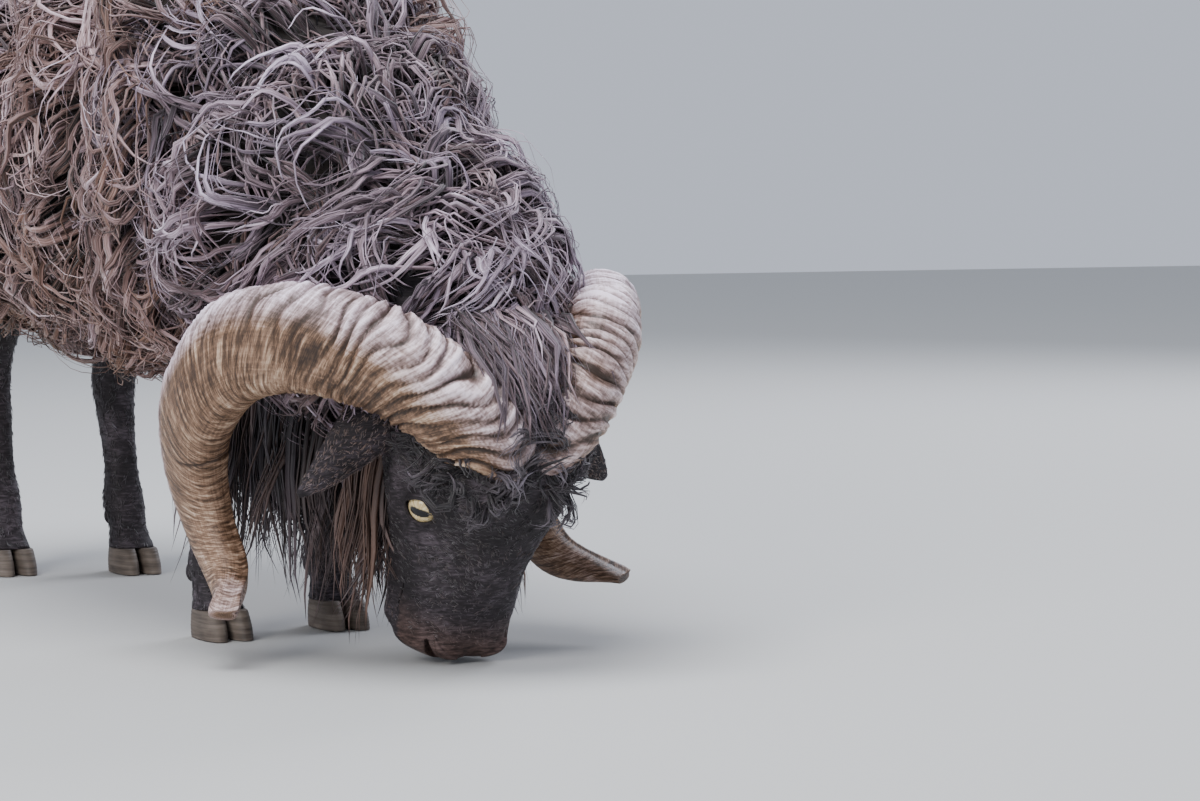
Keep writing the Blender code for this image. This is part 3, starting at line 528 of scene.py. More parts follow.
def headAt(at, angle, extra):
    rows = smoothRows(head["rows"], at)
    top, low, half = rows[..., 1], rows[..., 2], rows[..., 3]
    across, high = roundShare(angle, rows[..., 4])
    sideways = across * half * (1 + 0.06 * high)
    middle = (top + low) / 2
    face = middle + high * (top - low) / 2
    rise = 0.0
    for side, nose, out, height, spread in head["swellings"]:
        away = (np.abs(sideways) - side) ** 2 + (at - nose) ** 2 + (face - out) ** 2
        rise = rise + height * np.exp(-away / (2 * spread**2))
    reach = np.hypot(sideways, face - middle)
    push = 1 + (rise + extra) / np.maximum(reach, 0.004)
    return facePoint(sideways * push, at, middle + (face - middle) * push)


# Mesh helpers


def inScene(name, data):
    made = bpy.data.objects.new(name, data)
    bpy.context.scene.collection.objects.link(made)
    return made


def ringMesh(name, rings):
    # A closed skin over rings of equal count, with a fan at each end
    rings = np.asarray(rings)
    count, sides = rings.shape[:2]
    base = np.arange(count - 1)[:, None] * sides
    one = np.arange(sides)[None, :]
    two = (one + 1) % sides
    quads = np.stack([base + one, base + two, base + two + sides, base + one + sides], -1)
    faces = quads.reshape(-1, 4).tolist()
    hubs = [rings[0].mean(0), rings[-1].mean(0)]
    total = count * sides
    for i in range(sides):
        j = (i + 1) % sides
        faces.append((j, i, total))
        faces.append((total - sides + i, total - sides + j, total + 1))
    mesh = bpy.data.meshes.new(name)
    mesh.from_pydata(np.concatenate([rings.reshape(-1, 3), hubs]).tolist(), [], faces)
    mesh.update()
    made = inScene(name, mesh)
    outwards(made)
    return made


def selectOnly(made):
    bpy.ops.object.select_all(action="DESELECT")
    made.select_set(True)
    bpy.context.view_layer.objects.active = made


def outwards(made, merge=0.0):
    # Turns all faces outwards, after joining corners that lie closer than merge
    selectOnly(made)
    bpy.ops.object.mode_set(mode="EDIT")
    bpy.ops.mesh.select_all(action="SELECT")
    if merge:
        bpy.ops.mesh.remove_doubles(threshold=merge)
    bpy.ops.mesh.normals_make_consistent(inside=False)
    bpy.ops.object.mode_set(mode="OBJECT")


def joinSolids(target, others, operation):
    # One Boolean step with each helper, which is then deleted
    for other in others:
        step = target.modifiers.new("step", "BOOLEAN")
        step.operation = operation
        step.object = other
        step.solver = "MANIFOLD"
        selectOnly(target)
        bpy.ops.object.modifier_apply(modifier=step.name)
        bpy.data.objects.remove(other)


def settle(piece, finish):
    piece.data.materials.clear()
    piece.data.materials.append(finish)
    piece.data.shade_smooth()
    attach(piece, "root")


def markVertices(piece, name, values, kind="FLOAT"):
    layer = piece.data.attributes.new(name, kind, "POINT")
    key = "vector" if kind == "FLOAT_VECTOR" else "value"
    layer.data.foreach_set(key, np.asarray(values, np.float32).ravel())


def vertexSpots(piece):
    spots = np.empty(len(piece.data.vertices) * 3, np.float32)
    piece.data.vertices.foreach_get("co", spots)
    return spots.reshape(-1, 3)


# Skin: one mesh for trunk, neck, head, ears, legs and tail

legs = {
    # from the top down: back, outwards, height, half size front to back, half size sideways
    "fore": (
        (0.0, 0.012, 0.235, 0.033, 0.029), (0.0, 0.008, 0.198, 0.027, 0.024),
        (-0.002, 0.003, 0.16, 0.0205, 0.0185), (-0.004, 0.001, 0.128, 0.0195, 0.0185),
        (-0.002, 0.0, 0.108, 0.0155, 0.015), (0.0, 0.0, 0.075, 0.0138, 0.0132),
        (0.002, 0.0, 0.052, 0.0178, 0.017), (-0.003, 0.0, 0.034, 0.015, 0.0155),
        (-0.009, 0.0, 0.02, 0.0175, 0.019),
    ),
    "hind": (
        (-0.026, 0.01, 0.262, 0.046, 0.034), (-0.003, 0.006, 0.218, 0.036, 0.027),
        (0.022, 0.003, 0.18, 0.025, 0.0195), (0.032, 0.001, 0.153, 0.0225, 0.0175),
        (0.026, 0.0, 0.128, 0.018, 0.0155), (0.014, 0.0, 0.085, 0.0145, 0.0135),
        (0.008, 0.0, 0.055, 0.0178, 0.017), (-0.001, 0.0, 0.036, 0.015, 0.0155),
        (-0.009, 0.0, 0.02, 0.0175, 0.019),
    ),
    "feet": {  # sideways, y
        "fore_right": (-0.05, foreY - 0.008),
        "fore_left": (0.046, foreY + 0.01),
        "hind_right": (-0.05, hindY + 0.03),
        "hind_left": (0.042, hindY - 0.006),
    },
    "sides": 36,
    "steps": 9,
    "tendonDepth": 0.09,
    "dewclaw": (0.0095, 0.014, 0.044),  # outwards, back, height
    "dewclawSize": (0.005, 0.0042, 0.0075),
}


def legAt(foot, row, angle, extra=0.0):
    rows = evenRows(legs[foot[:4]], row)
    sideways, y = legs["feet"][foot]
    side = math.copysign(1.0, sideways)
    pinch = 1 - legs["tendonDepth"] * np.cos(2 * angle) ** 2 * ease(row, 2, 4)
    across = np.cos(angle) * (rows[..., 5] + extra) * pinch
    back = np.sin(angle) * (rows[..., 4] + extra) * pinch
    return spotsAt(sideways + side * rows[..., 2] + across, y + rows[..., 1] + back, rows[..., 3])


def makeLeg(foot):
    last = len(legs[foot[:4]]) - 1
    row = np.linspace(0, last, last * legs["steps"] + 1)[:, None]
    leg = ringMesh("leg_" + foot, legAt(foot, row, turnsOf(legs["sides"])[None, :]))
    out, back, height = legs["dewclaw"]
    sideways, y = legs["feet"][foot]
    for side in (-1, 1):
        spot = np.array((sideways + side * out, y + back, height)) + standShift
        claw = addBall("dewclaw", spot, 1, 20, 12, legs["dewclawSize"])
        joinSolids(leg, [claw], "UNION")
    return leg


tail = {
    # from the root down: y, height, half width, half depth
    "rows": (
        (0.372, 0.405, 0.02, 0.018), (0.415, 0.395, 0.022, 0.018), (0.43, 0.36, 0.02, 0.013),
        (0.436, 0.32, 0.018, 0.011), (0.436, 0.28, 0.013, 0.009), (0.435, 0.258, 0.005, 0.004),
    ),
    "rings": 26,
    "sides": 20,
}


def makeTail():
    rows = evenRows(tail["rows"], np.linspace(0, len(tail["rows"]) - 1, tail["rings"]))
    angle = turnsOf(tail["sides"])[None, :]
    y = rows[:, 1:2] + np.sin(angle) * rows[:, 4:5]
    return ringMesh("tail_core", spotsAt(np.cos(angle) * rows[:, 3:4], y, rows[:, 2:3]))


eye = {
    "radius": 0.0126,
    "place": (0.0405, 0.0687, -0.0219),
    "axis": (0.8, 0.09, 0.59),
    "gap": 0.0003,
    "lid": 0.0024,
    "slitAxis": (-0.45, 0.02, 0.81),
    "slitHalf": (0.0138, 0.009),
    "rimThickness": 0.0013,
    "bare": 0.0185,  # how far from its middle no fur grows
}


def eyeFrame(side):
    # Middle, outward axis, long axis of the slit and the axis across it
    middle = facePoint(*mirrored(eye["place"], side))
    out = faceDirection(*mirrored(eye["axis"], side))
    slit = faceDirection(*mirrored(eye["slitAxis"], side))
    slit = unit(slit - out * slit.dot(out))
    return middle, out, slit, np.cross(out, slit)


def almond(side, share, spread):
    # The opening between the lids, pointed at both corners
    middle, out, slit, across = eyeFrame(side)
    c, s = np.cos(share * math.tau), np.sin(share * math.tau)
    narrow = eye["slitHalf"][1] * s * (1 - 0.45 * c * c)
    flat = slit * (eye["slitHalf"][0] * c)[:, None] + across * narrow[:, None]
    return middle, out, flat * spread


def addBall(name, middle, radius, sides=64, rings=32, stretch=(1, 1, 1)):
    bpy.ops.object.select_all(action="DESELECT")
    bpy.ops.mesh.primitive_uv_sphere_add(segments=sides, ring_count=rings, radius=radius, location=middle)
    ball = bpy.context.object
    ball.name = name
    ball.scale = stretch
    bpy.ops.object.transform_apply(location=True, rotation=True, scale=True)
    return ball


def addTube(name, spots, radii, closed=False):
    # A bevelled curve through the spots, turned into a mesh
    curve = bpy.data.curves.new(name, "CURVE")
    curve.dimensions = "3D"
    curve.bevel_depth = 1.0
    curve.bevel_resolution = 2
    curve.use_fill_caps = True
    line = curve.splines.new("POLY")
    line.points.add(len(spots) - 1)
    line.use_cyclic_u = closed
    for point, spot, radius in zip(line.points, spots, radii):
        point.co = (*spot, 1)
        point.radius = radius
    selectOnly(inScene(name, curve))
    bpy.ops.object.convert(target="MESH")
    tube = bpy.context.object
    outwards(tube, 1e-6)
    return tube


mouth = {
    "nose": 0.137,
    "reach": 0.046,
    "halfWidth": 0.037,
    "face": -0.038,
    "cornerRise": 0.006,
    "depth": 0.0062,
    "halfHeight": 0.0016,
    "turn": 112,  # degrees round from the nose to each corner
    "bare": 0.0055,
}
nostril = {
    # along the head, degrees up from its side, half width of the slit there
    "line": (
        (0.1775, 72.0, 0.0018), (0.1735, 60.0, 0.0036), (0.168, 49.0, 0.0034), (0.161, 40.0, 0.0012),
    ),
    "depths": (0.0006, 0.0036, 0.0064),
    "wing": (-0.0042, 9.0, 0.0022),  # the fold above: along the head, degrees, half width
    "bare": 0.0065,
    "pad": (0.163, -0.2),  # the bare nose: from where along the head, and how far down its side
}


def mouthLine(count):
    angle = np.radians(np.linspace(-mouth["turn"], mouth["turn"], count))
    rise = mouth["cornerRise"] * np.sin(angle / 2) ** 2 * 2
    sideways, nose = mouth["halfWidth"] * np.sin(angle), mouth["reach"] * np.cos(angle)
    return facePoint(sideways, mouth["nose"] + nose, mouth["face"] + rise), angle


def makeMouth():
    line, angle = mouthLine(61)
    up = faceDirection(0.0, 0.0, 1.0)
    rings = []
    for spot, turn in zip(line, angle):
        out = faceDirection(math.sin(turn), math.cos(turn), 0.0)
        fade = 1 - 0.7 * abs(turn / angle[-1]) ** 6
        ring = [out * mouth["depth"], up * mouth["halfHeight"] * fade]
        rings.append([spot + ring[0], spot + ring[1], spot - ring[0], spot - ring[1]])
    return ringMesh("mouth_line", rings)


def nostrilLine(side, depth, count=15, shift=(0.0, 0.0)):
    rows = evenRows(nostril["line"], np.linspace(0, 3, count))
    angle = np.radians(rows[:, 2] + shift[1])
    angle = angle if side > 0 else math.pi - angle
    return headAt(rows[:, 1] + shift[0], angle, -depth), rows[:, 3]


def carveNostril(made, side):
    # A wing of skin above, then a slit cut in three depths
    shift, turn, half = nostril["wing"]
    spots, widths = nostrilLine(side, 0.0, shift=(shift, turn))
    joinSolids(made, [addTube("wing", spots, half * widths / widths.max())], "UNION")
    for depth in nostril["depths"]:
        spots, widths = nostrilLine(side, depth)
        slit = addTube("slit", spots, widths * (1 - 40 * depth))
        joinSolids(made, [slit], "DIFFERENCE")


ear = {
    "root": (0.043, 0.023, -0.066),
    "axis": (0.84, 0.16, -0.5),
    "opening": (0.1, 0.85, 0.45),
    "length": 0.084,
    "width": 0.044,
    "thickness": 0.003,
    "curl": (125.0, 80.0),  # degrees at the root, and how many fewer at the tip
    "steps": (44, 30),
    "sunk": 0.16,  # how far the root runs on into the head, as a share of the length
}


def earAt(side, share, across, out=0.0):
    # A point of the furled leaf: share from root to tip, across from edge to edge
    along = unit(mirrored(ear["axis"], side))
    opening = mirrored(ear["opening"], side)
    opening = unit(opening - along * opening.dot(along))
    sideways = np.cross(along, opening)
    share = np.asarray(share, float)
    inside = np.clip(share, 0.0, 1.0)
    belly = 0.5 + 0.5 * np.sin(math.pi * np.minimum(1.0, 0.2 + inside * 0.8)) ** 0.8
    half = ear["width"] / 2 * belly * (1 - 0.22 * inside - 0.62 * inside**7)
    curl = np.radians(ear["curl"][0] - ear["curl"][1] * inside)
    radius = half / np.sin(np.minimum(curl, math.pi / 2))
    spine = facePoint(*mirrored(ear["root"], side))
    spine = spine + along * (ear["length"] * share)[..., None]
    spine = spine - np.array((0, 0, 1.0)) * (0.01 * inside * inside)[..., None]
    bend = curl * across
    spot = spine + sideways * ((radius + out) * np.sin(bend))[..., None]
    return spot - opening * ((radius + out) * np.cos(bend) - 0.5 * radius)[..., None]


def makeEar(side, word):
    share, across = np.meshgrid(
        np.linspace(-ear["sunk"], 1, ear["steps"][0]),
        np.linspace(-1, 1, ear["steps"][1]),
        indexing="ij",
    )
    back = earAt(side, share, across, ear["thickness"] / 2)
    cup = earAt(side, share, across, -ear["thickness"] / 2)
    beyond = np.full_like(share[:, :1], 1.03)
    edges = [earAt(side, share[:, :1], across) for across in (beyond, -beyond)]
    rings = np.concatenate([back, edges[0], cup[:, ::-1], edges[1]], 1)
    return ringMesh("ear_skin_" + word, rings)


horn = {
    # the line in the head's axes: sideways, back, up, thickness in the curl, thickness sideways
    "rows": (
        (0.008, 0.012, -0.03, 0.04, 0.036), (0.029, -0.002, -0.004, 0.066, 0.05),
        (0.069, 0.02, 0.034, 0.07, 0.052), (0.099, 0.057, 0.052, 0.07, 0.052),
        (0.123, 0.095, 0.055, 0.07, 0.05), (0.138, 0.133, 0.043, 0.07, 0.046),
        (0.143, 0.171, 0.008, 0.066, 0.042), (0.134, 0.196, -0.032, 0.054, 0.036),
        (0.125, 0.195, -0.074, 0.041, 0.028), (0.127, 0.163, -0.109, 0.03, 0.024),
        (0.155, 0.118, -0.124, 0.009, 0.012),
    ),
    "centre": (0.0, 0.1, -0.04),
    "rim": 0.026,
    "pitch": 0.0145,  # metres from one fold to the next
    "closer": (4.4, 0.1),  # folds added near the root, and over what length
    "ridgedShare": 0.74,
    "ridgeHeight": 0.0064,
    "slant": 0.034,  # how much nearer the root a fold is at the outer edge
    "cracks": ((0.305, 0.0016, 0.003, 1.3), (0.655, 0.0016, 0.0018, 3.2)),
    "rings": 500,
    "sides": 72,
    "squareness": 2.3,
    "growthLines": (430, 1.5),  # along the horn, per metre, and round it
    "fibres": (26, 15),  # the same for the fibres of the sheath
    "pedicleStep": 0.006,  # how far the bone under it stands back from the sheath
    "pedicleEnd": 0.087,  # how far along the horn the bone reaches, as a share
    "pedicleMesh": (12, 48),
}


def hornLine(side, share):
    # Places, frames and half sizes at shares of the horn's real length
    rows = horn["rows"]
    fine = evenRows(rows, np.linspace(0, len(rows) - 1, 601))
    run = np.concatenate([[0], np.cumsum(lengths(np.diff(fine[:, 1:4], axis=0)))])
    at = np.interp(np.asarray(share) * run[-1], run, fine[:, 0])
    values = evenRows(rows, at)
    along = unit(mirrored((evenRows(rows, at + 0.02) - evenRows(rows, at - 0.02))[:, 1:4], side))
    place = mirrored(values[:, 1:4], side)
    out = place - np.array(horn["centre"])
    out[:, 0] = 0
    out = unit(out - along * (out * along).sum(-1, keepdims=True))
    return place, out, np.cross(along, out), values[:, 4] / 2, values[:, 5] / 2, run[-1]


def ridgeHeights(share, angle, side, length):
    # Rounded folds with narrow valleys that also get painted shade, slanting over the outer edge, weaker on
    # the inner one
    outer = np.cos(angle)
    wander = 0.3 * np.sin(angle * 2 + share * 19 + side) + 0.18 * np.sin(angle * 3 - share * 47)
    run = (share - horn["slant"] * (1 - outer)) * length
    extra, within = horn["closer"]
    phase = run / horn["pitch"] + extra * (1 - np.exp(-np.maximum(run, 0) / within)) + wander
    phase = phase + 0.35 * np.sin(share * 29 + side) + 0.2 * np.sin(share * 71)
    fold = np.abs(np.sin(math.pi * phase)) ** 0.7
    ridged = horn["ridgedShare"] * (0.6 + 0.4 * ease(outer, -0.3, 0.7))
    fade = np.clip(1.05 - (share - horn["rim"]) / ridged, 0, 1) ** 0.75
    inner = 0.72 - 0.42 * ease(share, 0.22, 0.42)
    strength = 0.75 + 0.25 * np.sin(share * 57 + angle)
    strength = strength * (inner + (1 - inner) * ease(outer, -0.9, 0.35))
    fine = np.sin(math.tau * phase * 2.7 + 2.2 * np.sin(angle * 2)) * 0.09
    finer = np.sin(math.tau * phase * 6.1 + 1.5 * np.sin(angle * 3)) * 0.05
    detail = (fine + finer) * np.clip(1.1 - share, 0.25, 1)
    height = (fold - 0.6) * fade * strength + detail
    # Painted shade for the valleys
    valleyShade = np.clip(0.58 - fold, 0, 1) * 2.1 * fade * strength
    crack = 0 * height
    for place, depth, width, reach in horn["cracks"]:
        away = (share - place - 0.01 * np.sin(angle * 2 + side)) * length / width
        cut = np.exp(-(away**2)) * ease(reach - np.abs(angle - math.pi * (1 + side * 0.5)), 0, 0.8)
        crack = crack + cut
        height = height - cut * depth / horn["ridgeHeight"]
    return height, np.clip(valleyShade + crack * 0.7, 0, 0.92)


def makeHorn(side, word, finish):
    share = np.linspace(horn["rim"], 1, horn["rings"])
    angle = turnsOf(horn["sides"])
    place, out, across, deep, wide, length = hornLine(side, share)
    tip = ease(share, 0.93, 1.0)
    deep = deep * (1 - 0.25 * tip)
    wide = wide * (1 + 0.5 * tip)
    high, low = roundShare(angle[None, :], horn["squareness"])
    ridge, valleyShade = ridgeHeights(share[:, None], angle[None, :], side, length)
    lift = ridge * horn["ridgeHeight"] * np.clip(deep[:, None] / 0.03, 0.1, 1.1)
    keel = 0.0024 * np.exp(-((angle[None, :] - 2.5) ** 2) / 0.04) * ease(share[:, None], 0.55, 0.8)
    reach = 1 + (lift + keel) / np.maximum(deep[:, None], 0.004)
    spots = place[:, None] + out[:, None] * (high * deep[:, None] * reach)[..., None]
    spots = spots + across[:, None] * (low * wide[:, None] * reach)[..., None]
    made = ringMesh("horn_sheath_" + word, inHead(spots))

    def mark(name, values, kind="FLOAT"):  # the hubs of the two end fans get zeros
        values = values.reshape(ridge.size, -1)
        markVertices(made, name, np.concatenate([values, np.zeros((2, values.shape[1]))]), kind)

    run = np.broadcast_to((share * length)[:, None, None], (*ridge.shape, 1))
    turn = np.stack([np.cos(angle), np.sin(angle)], -1)[None]
    turn = np.broadcast_to(turn, (*ridge.shape, 2))
    slanted = run - horn["slant"] * length * (1 - turn[..., :1])
    for name, reach, (lengthwise, around) in (
        ("ringSpace", slanted, horn["growthLines"]), ("fibreSpace", run, horn["fibres"]),
    ):
        mark(name, np.concatenate([reach * lengthwise, turn * around + side], -1), "FLOAT_VECTOR")
    mark("valleyShade", valleyShade)
    # Fold height, also used for a painted highlight on the crests
    mark("height", np.clip(ridge + 0.5, 0, 1))
    # Where the painted pale highlight lies: along the outer edge, and near the tip
    outer = ease(np.cos(angle[None, :]) + 0 * share[:, None], -0.15, 1.0)
    outer = outer * ease(-share[:, None], -0.95, -0.6) * (0.55 + 0.45 * ease(share[:, None], 0.16, 0.38))
    outer = np.maximum(outer, 0.35 * ease(share[:, None], 0.8, 1.0))
    mark("crest", outer)
    settle(made, finish)
    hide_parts("horn_" + word)


def makeHorns():
    finish = hornFinish()
    for side, word in bothSides:
        makeHorn(side, word, finish)
    print("horns made")


def makePedicle(side):
    rings, sides = horn["pedicleMesh"]
    place, out, across, deep, wide, _ = hornLine(side, np.linspace(0, horn["pedicleEnd"], rings))
    high, low = roundShare(turnsOf(sides)[None, :], horn["squareness"])
    step = horn["pedicleStep"]
    spots = place[:, None] + out[:, None] * (high * (deep[:, None] - step))[..., None]
    spots = spots + across[:, None] * (low * (wide[:, None] - step))[..., None]
    return ringMesh("pedicle", inHead(spots))


def makeHead():
    made = coreMesh("skin", headAt, head, *ends(head["rows"]), 0.0)
    joinSolids(made, [makePedicle(side) for side in (-1, 1)], "UNION")
    for side in (-1, 1):
        middle, out, _, _ = eyeFrame(side)
        bulge = addBall("lid_bulge", middle, eye["radius"] + eye["gap"] + eye["lid"])
        joinSolids(made, [bulge], "UNION")
        _, _, flat = almond(side, np.linspace(0, 1, 48, endpoint=False), 1.0)
        steps = ((0.25, 0.8), (0.8, 0.95), (1.8, 1.15))
        rings = [middle + out * (eye["radius"] * depth) + flat * spread for depth, spread in steps]
        socket = addBall("socket", middle, eye["radius"] + eye["gap"])
        joinSolids(socket, [ringMesh("slit", rings)], "UNION")
        joinSolids(made, [socket], "DIFFERENCE")
        shell = eye["radius"] + eye["gap"] + eye["lid"] * 0.55
        rim = flat * 1.02
        height = np.sqrt(np.maximum(shell**2 - (rim**2).sum(-1), 1e-6))
        spots = middle + rim + out * height[:, None]
        lid = addTube("lid_rim", spots, [eye["rimThickness"]] * len(spots), closed=True)
        joinSolids(made, [lid], "UNION")
        carveNostril(made, side)
    joinSolids(made, [makeMouth()], "DIFFERENCE")
    return made


def coreMesh(name, surface, body, first, last, depth):
    # Rings along a body, closer together at its ends
    share = np.linspace(0, 1, body["rings"])
    at = first + (last - first) * (share - 0.05 * np.sin(math.tau * share))
    at, angle = np.broadcast_arrays(at[:, None], turnsOf(body["sides"])[None, :])
    return ringMesh(name, surface(at, angle, depth))


def makeSkin():
    skin = makeHead()
    print("head shaped:", len(skin.data.polygons), "faces")
    depth = trunk["coatDepth"]
    parts = [coreMesh("neck_core", neckAt, neck, 0.0, neckEnd, depth)]
    parts.append(coreMesh("trunk_core", trunkAt, trunk, *ends(trunk["rows"]), depth))
    parts.extend(makeLeg(foot) for foot in legs["feet"])
    parts.append(makeTail())
    parts.extend(makeEar(side, word) for side, word in bothSides)
    joinSolids(skin, parts, "UNION")
    skin.name = "skin"
    spots = vertexSpots(skin)
    inFace = (spots - standShift - np.array(head["place"])) @ headTurn
    nose, face = inFace @ noseAxis, inFace @ faceAxis
    isHead = (inFace[:, 1] < 0.09) & (spots[:, 2] < 0.26)
    muzzle = ease(nose, 0.135, 0.172) * isHead
    crown = np.exp(-((nose + 0.01) ** 2) / 0.0005) * ease(face, -0.004, 0.012) * isHead
    bare = 0.75 * crown * ease(-np.abs(inFace[:, 0]), -0.032, -0.016)
    markVertices(skin, "bare", bare)
    markVertices(skin, "warm", np.clip(muzzle * 0.8, 0, 1))
    onLegs = ease(-spots[:, 2], -0.2, -0.17)
    # The mask for painted shade on the skin under the fleece
    markVertices(skin, "under", (1 - isHead) * (1 - onLegs))
    markVertices(skin, "wet", ease(nose, 0.166, 0.178) * isHead)
    settle(skin, skinFinish())
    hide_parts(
        "torso", "neck", "tail", "head", "ear_left", "ear_right",
        "leg_fore_left", "leg_fore_right", "leg_hind_left", "leg_hind_right",
    )
    print("skin joined:", len(skin.data.polygons), "faces")


def makeEyes():
    finish = eyeFinish()
    for side, word in bothSides:
        middle, out, slit, across = eyeFrame(side)
        ball = addBall("eyeball_" + word, middle, eye["radius"] * 0.995, 96, 48)
        spots = vertexSpots(ball)
        local = (spots - middle) / eye["radius"]
        ahead = local @ out
        # The cornea bulges a little over the iris
        bulge = 0.0007 * ease(ahead, 0.55, 0.95)
        spots = spots + out * bulge[:, None]
        ball.data.vertices.foreach_set("co", spots.astype(np.float32).ravel())
        long, wide = local @ slit, local @ across
        markVertices(ball, "fromAxis", np.hypot(long, wide) + (ahead < 0))
        slot = (np.abs(long) / 0.56) ** 3 + (np.abs(wide) / 0.22) ** 3
        markVertices(ball, "slot", (1 - ease(slot, 0.8, 1.2)) * (ahead > 0))
        turn = np.arctan2(wide, long)
        rays = np.stack([np.cos(turn) * 9, np.sin(turn) * 9, np.hypot(long, wide) * 2], -1)
        markVertices(ball, "raySpace", rays, "FLOAT_VECTOR")
        settle(ball, finish)
        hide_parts("eye_" + word)
    print("eyes made")


hoof = {
    # height, heel behind the toe's middle, toe tip before it, half width
    "rows": (
        (0.0, 0.0258, -0.0238, 0.0083), (0.0008, 0.0262, -0.0242, 0.0086),
        (0.008, 0.0262, -0.0214, 0.0089), (0.015, 0.0252, -0.0166, 0.0086),
        (0.019, 0.0243, -0.0136, 0.0082), (0.0197, 0.0235, -0.0126, 0.0076),
    ),
    "forward": 0.018,
    "spread": 0.0094,
    "rings": 41,
    "sides": 56,
    "squareness": 2.3,
}


def makeHooves():
    finish = hoofFinish()
    rows = evenRows(hoof["rows"], np.linspace(0, len(hoof["rows"]) - 1, hoof["rings"]))
    height, heel, tip, half = (rows[:, i : i + 1] for i in (1, 2, 3, 4))
    across, long = roundShare(turnsOf(hoof["sides"])[None, :], hoof["squareness"])
    for foot, (sideways, y) in legs["feet"].items():
        for side, toe in bothSides:
            ripple = 1 + 0.01 * np.sin(height * 2600) * (height > 0.002)
            x = sideways + side * hoof["spread"] + across * half * ripple
            middle = y - hoof["forward"] + (heel + tip) / 2
            rings = spotsAt(x, middle + long * (heel - tip) / 2 * ripple, height)
            claw = ringMesh("claw_" + foot + "_" + toe, rings)
            settle(claw, finish)
            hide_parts("hoof_" + foot + "_" + toe)
    print("hooves made")


# Fleece and hair: closed strands that taper to a point

strand = {
    # each region's strip of the unwrapped skin: left edge and width
    "strips": {
        "trunk": (0.02, 0.45), "neck": (0.5, 0.2), "face": (0.72, 0.14), "leg": (0.88, 0.09),
        "ear": (0.975, 0.015), "tail": (0.48, 0.012),
    },
    "mapSize": 0.003,  # side of each strand's square there
    "fibres": 520,  # fibre lines per metre across a strand
    "pieceTriangles": 195000,
}


def strandMesh(name, grown, chunk, ridges, finish):
    # Strands with one flat side to the body, one or more ridges over it, and a pointed end
    paths, ups, widths = (grown[key][chunk] for key in ("paths", "ups", "widths"))
    count, points = paths.shape[:2]
    along = unit(np.gradient(paths, axis=1))
    right = unit(np.cross(along, ups))
    up = np.cross(right, along)
    rings, sides = points - 1, 2 * ridges + 1
    rng = np.random.default_rng(count)
    if ridges > 1:  # whole locks roll about their own line
        roll = rng.normal(0, 0.3, (count, 1)) + rng.normal(0, 0.5, (count, 1)) * grown["share"]
        roll = roll[..., None]
        right, up = right * np.cos(roll) + up * np.sin(roll), up * np.cos(roll) - right * np.sin(roll)
    profile = np.concatenate([[-0.5], np.linspace(0.5, -0.5, sides)[:-1]])
    valley = (np.arange(sides) % 2 == 1) & (np.arange(sides) > 1)
    high = 0.42 * np.clip(1 - 4 * profile**2, 0, 1) ** 0.7 - 0.14 - valley * 0.42 / ridges
    inner = (np.abs(profile) < 0.5) * (ridges > 1) / ridges
    wander = rng.uniform(0, math.tau, (count, 1, sides)) + grown["share"][None, :, None] * 6
    across = profile + np.sin(wander) * inner * 0.16
    high = high + rng.normal(0, 0.12, (count, 1, sides)) * inner + np.cos(wander) * inner * 0.12
    body = right[:, :, None] * across[..., None] + up[:, :, None] * high[..., None]
    body = (paths[:, :, None] + body * widths[..., None, None])[:, :rings]
    spots = np.concatenate([body.reshape(count, -1, 3), paths[:, -1:]], 1)
    perStrand = rings * sides + 1
    corner = []
    for here in range(rings * sides):
        there = here - here % sides + (here + 1) % sides
        point = here >= (rings - 1) * sides  # the last ring closes in triangles
        corner.extend((here, there, rings * sides) if point else (here, there, there + sides, here + sides))
    corner = np.array([*corner, *reversed(range(sides))])
    sizes = [4] * ((rings - 1) * sides) + [3] * sides + [sides]
    loops = (corner[None] + np.arange(count)[:, None] * perStrand).ravel()
    starts = np.cumsum(np.tile(sizes, count)) - np.tile(sizes, count)
    mesh = bpy.data.meshes.new(name)
    mesh.vertices.add(count * perStrand)
    mesh.vertices.foreach_set("co", spots.astype(np.float32).ravel())
    mesh.loops.add(len(loops))
    mesh.loops.foreach_set("vertex_index", loops.astype(np.int32))
    mesh.polygons.add(len(starts))
    mesh.polygons.foreach_set("loop_start", starts.astype(np.int32))
    mesh.update(calc_edges=True)
    piece = inScene(name, mesh)

    ring = np.minimum(corner // sides, rings)
    patch = np.stack([(corner % sides) / (sides - 1), ring / rings], -1) * strand["mapSize"]
    spread = np.clip(grown["rootMap"][chunk], 0.002, 0.995)[:, None] + patch[None]
    layer = mesh.uv_layers.new(name="OFBake")
    layer.data.foreach_set("uv", spread.astype(np.float32).ravel())
    run = np.concatenate([np.repeat(grown["share"][:rings], sides), [1.0]])
    markVertices(piece, "along", np.tile(run, count))
    for key in ("tone", "warm", "cool"):
        markVertices(piece, key, np.repeat(grown[key][chunk], perStrand))
    across = np.concatenate([np.tile(profile * 2, rings), [0.0]])
    across = across[None] * widths.max(1, keepdims=True) * strand["fibres"]
    lengthwise = run[None] * 2.2 + 0 * across
    seed = (grown["tone"][chunk][:, None] * 97 + np.arange(count)[:, None] * 1.7) + 0 * across
    markVertices(piece, "fibre", np.stack([across, lengthwise, seed], -1), "FLOAT_VECTOR")
    settle(piece, finish)


def plantStrands(name, grown, finish):
    # Pieces below the triangle limit, each a neighbourhood of its own
    made = triangles = 0
    for ridges in np.unique(grown["ridges"]):
        kind = np.flatnonzero(grown["ridges"] == ridges)
        order = kind[np.argsort(grown["mapAt"][kind])]
        total = len(order) * ((4 * ridges + 2) * (grown["paths"].shape[1] - 1) - 2)
        for chunk in np.array_split(order, math.ceil(total / strand["pieceTriangles"])):
            made += 1
            strandMesh(f"{name}_{made:02d}", grown, chunk, int(ridges), finish)
        triangles += total
    print(name, "planted:", len(grown["ridges"]), "strands,", triangles, "triangles")


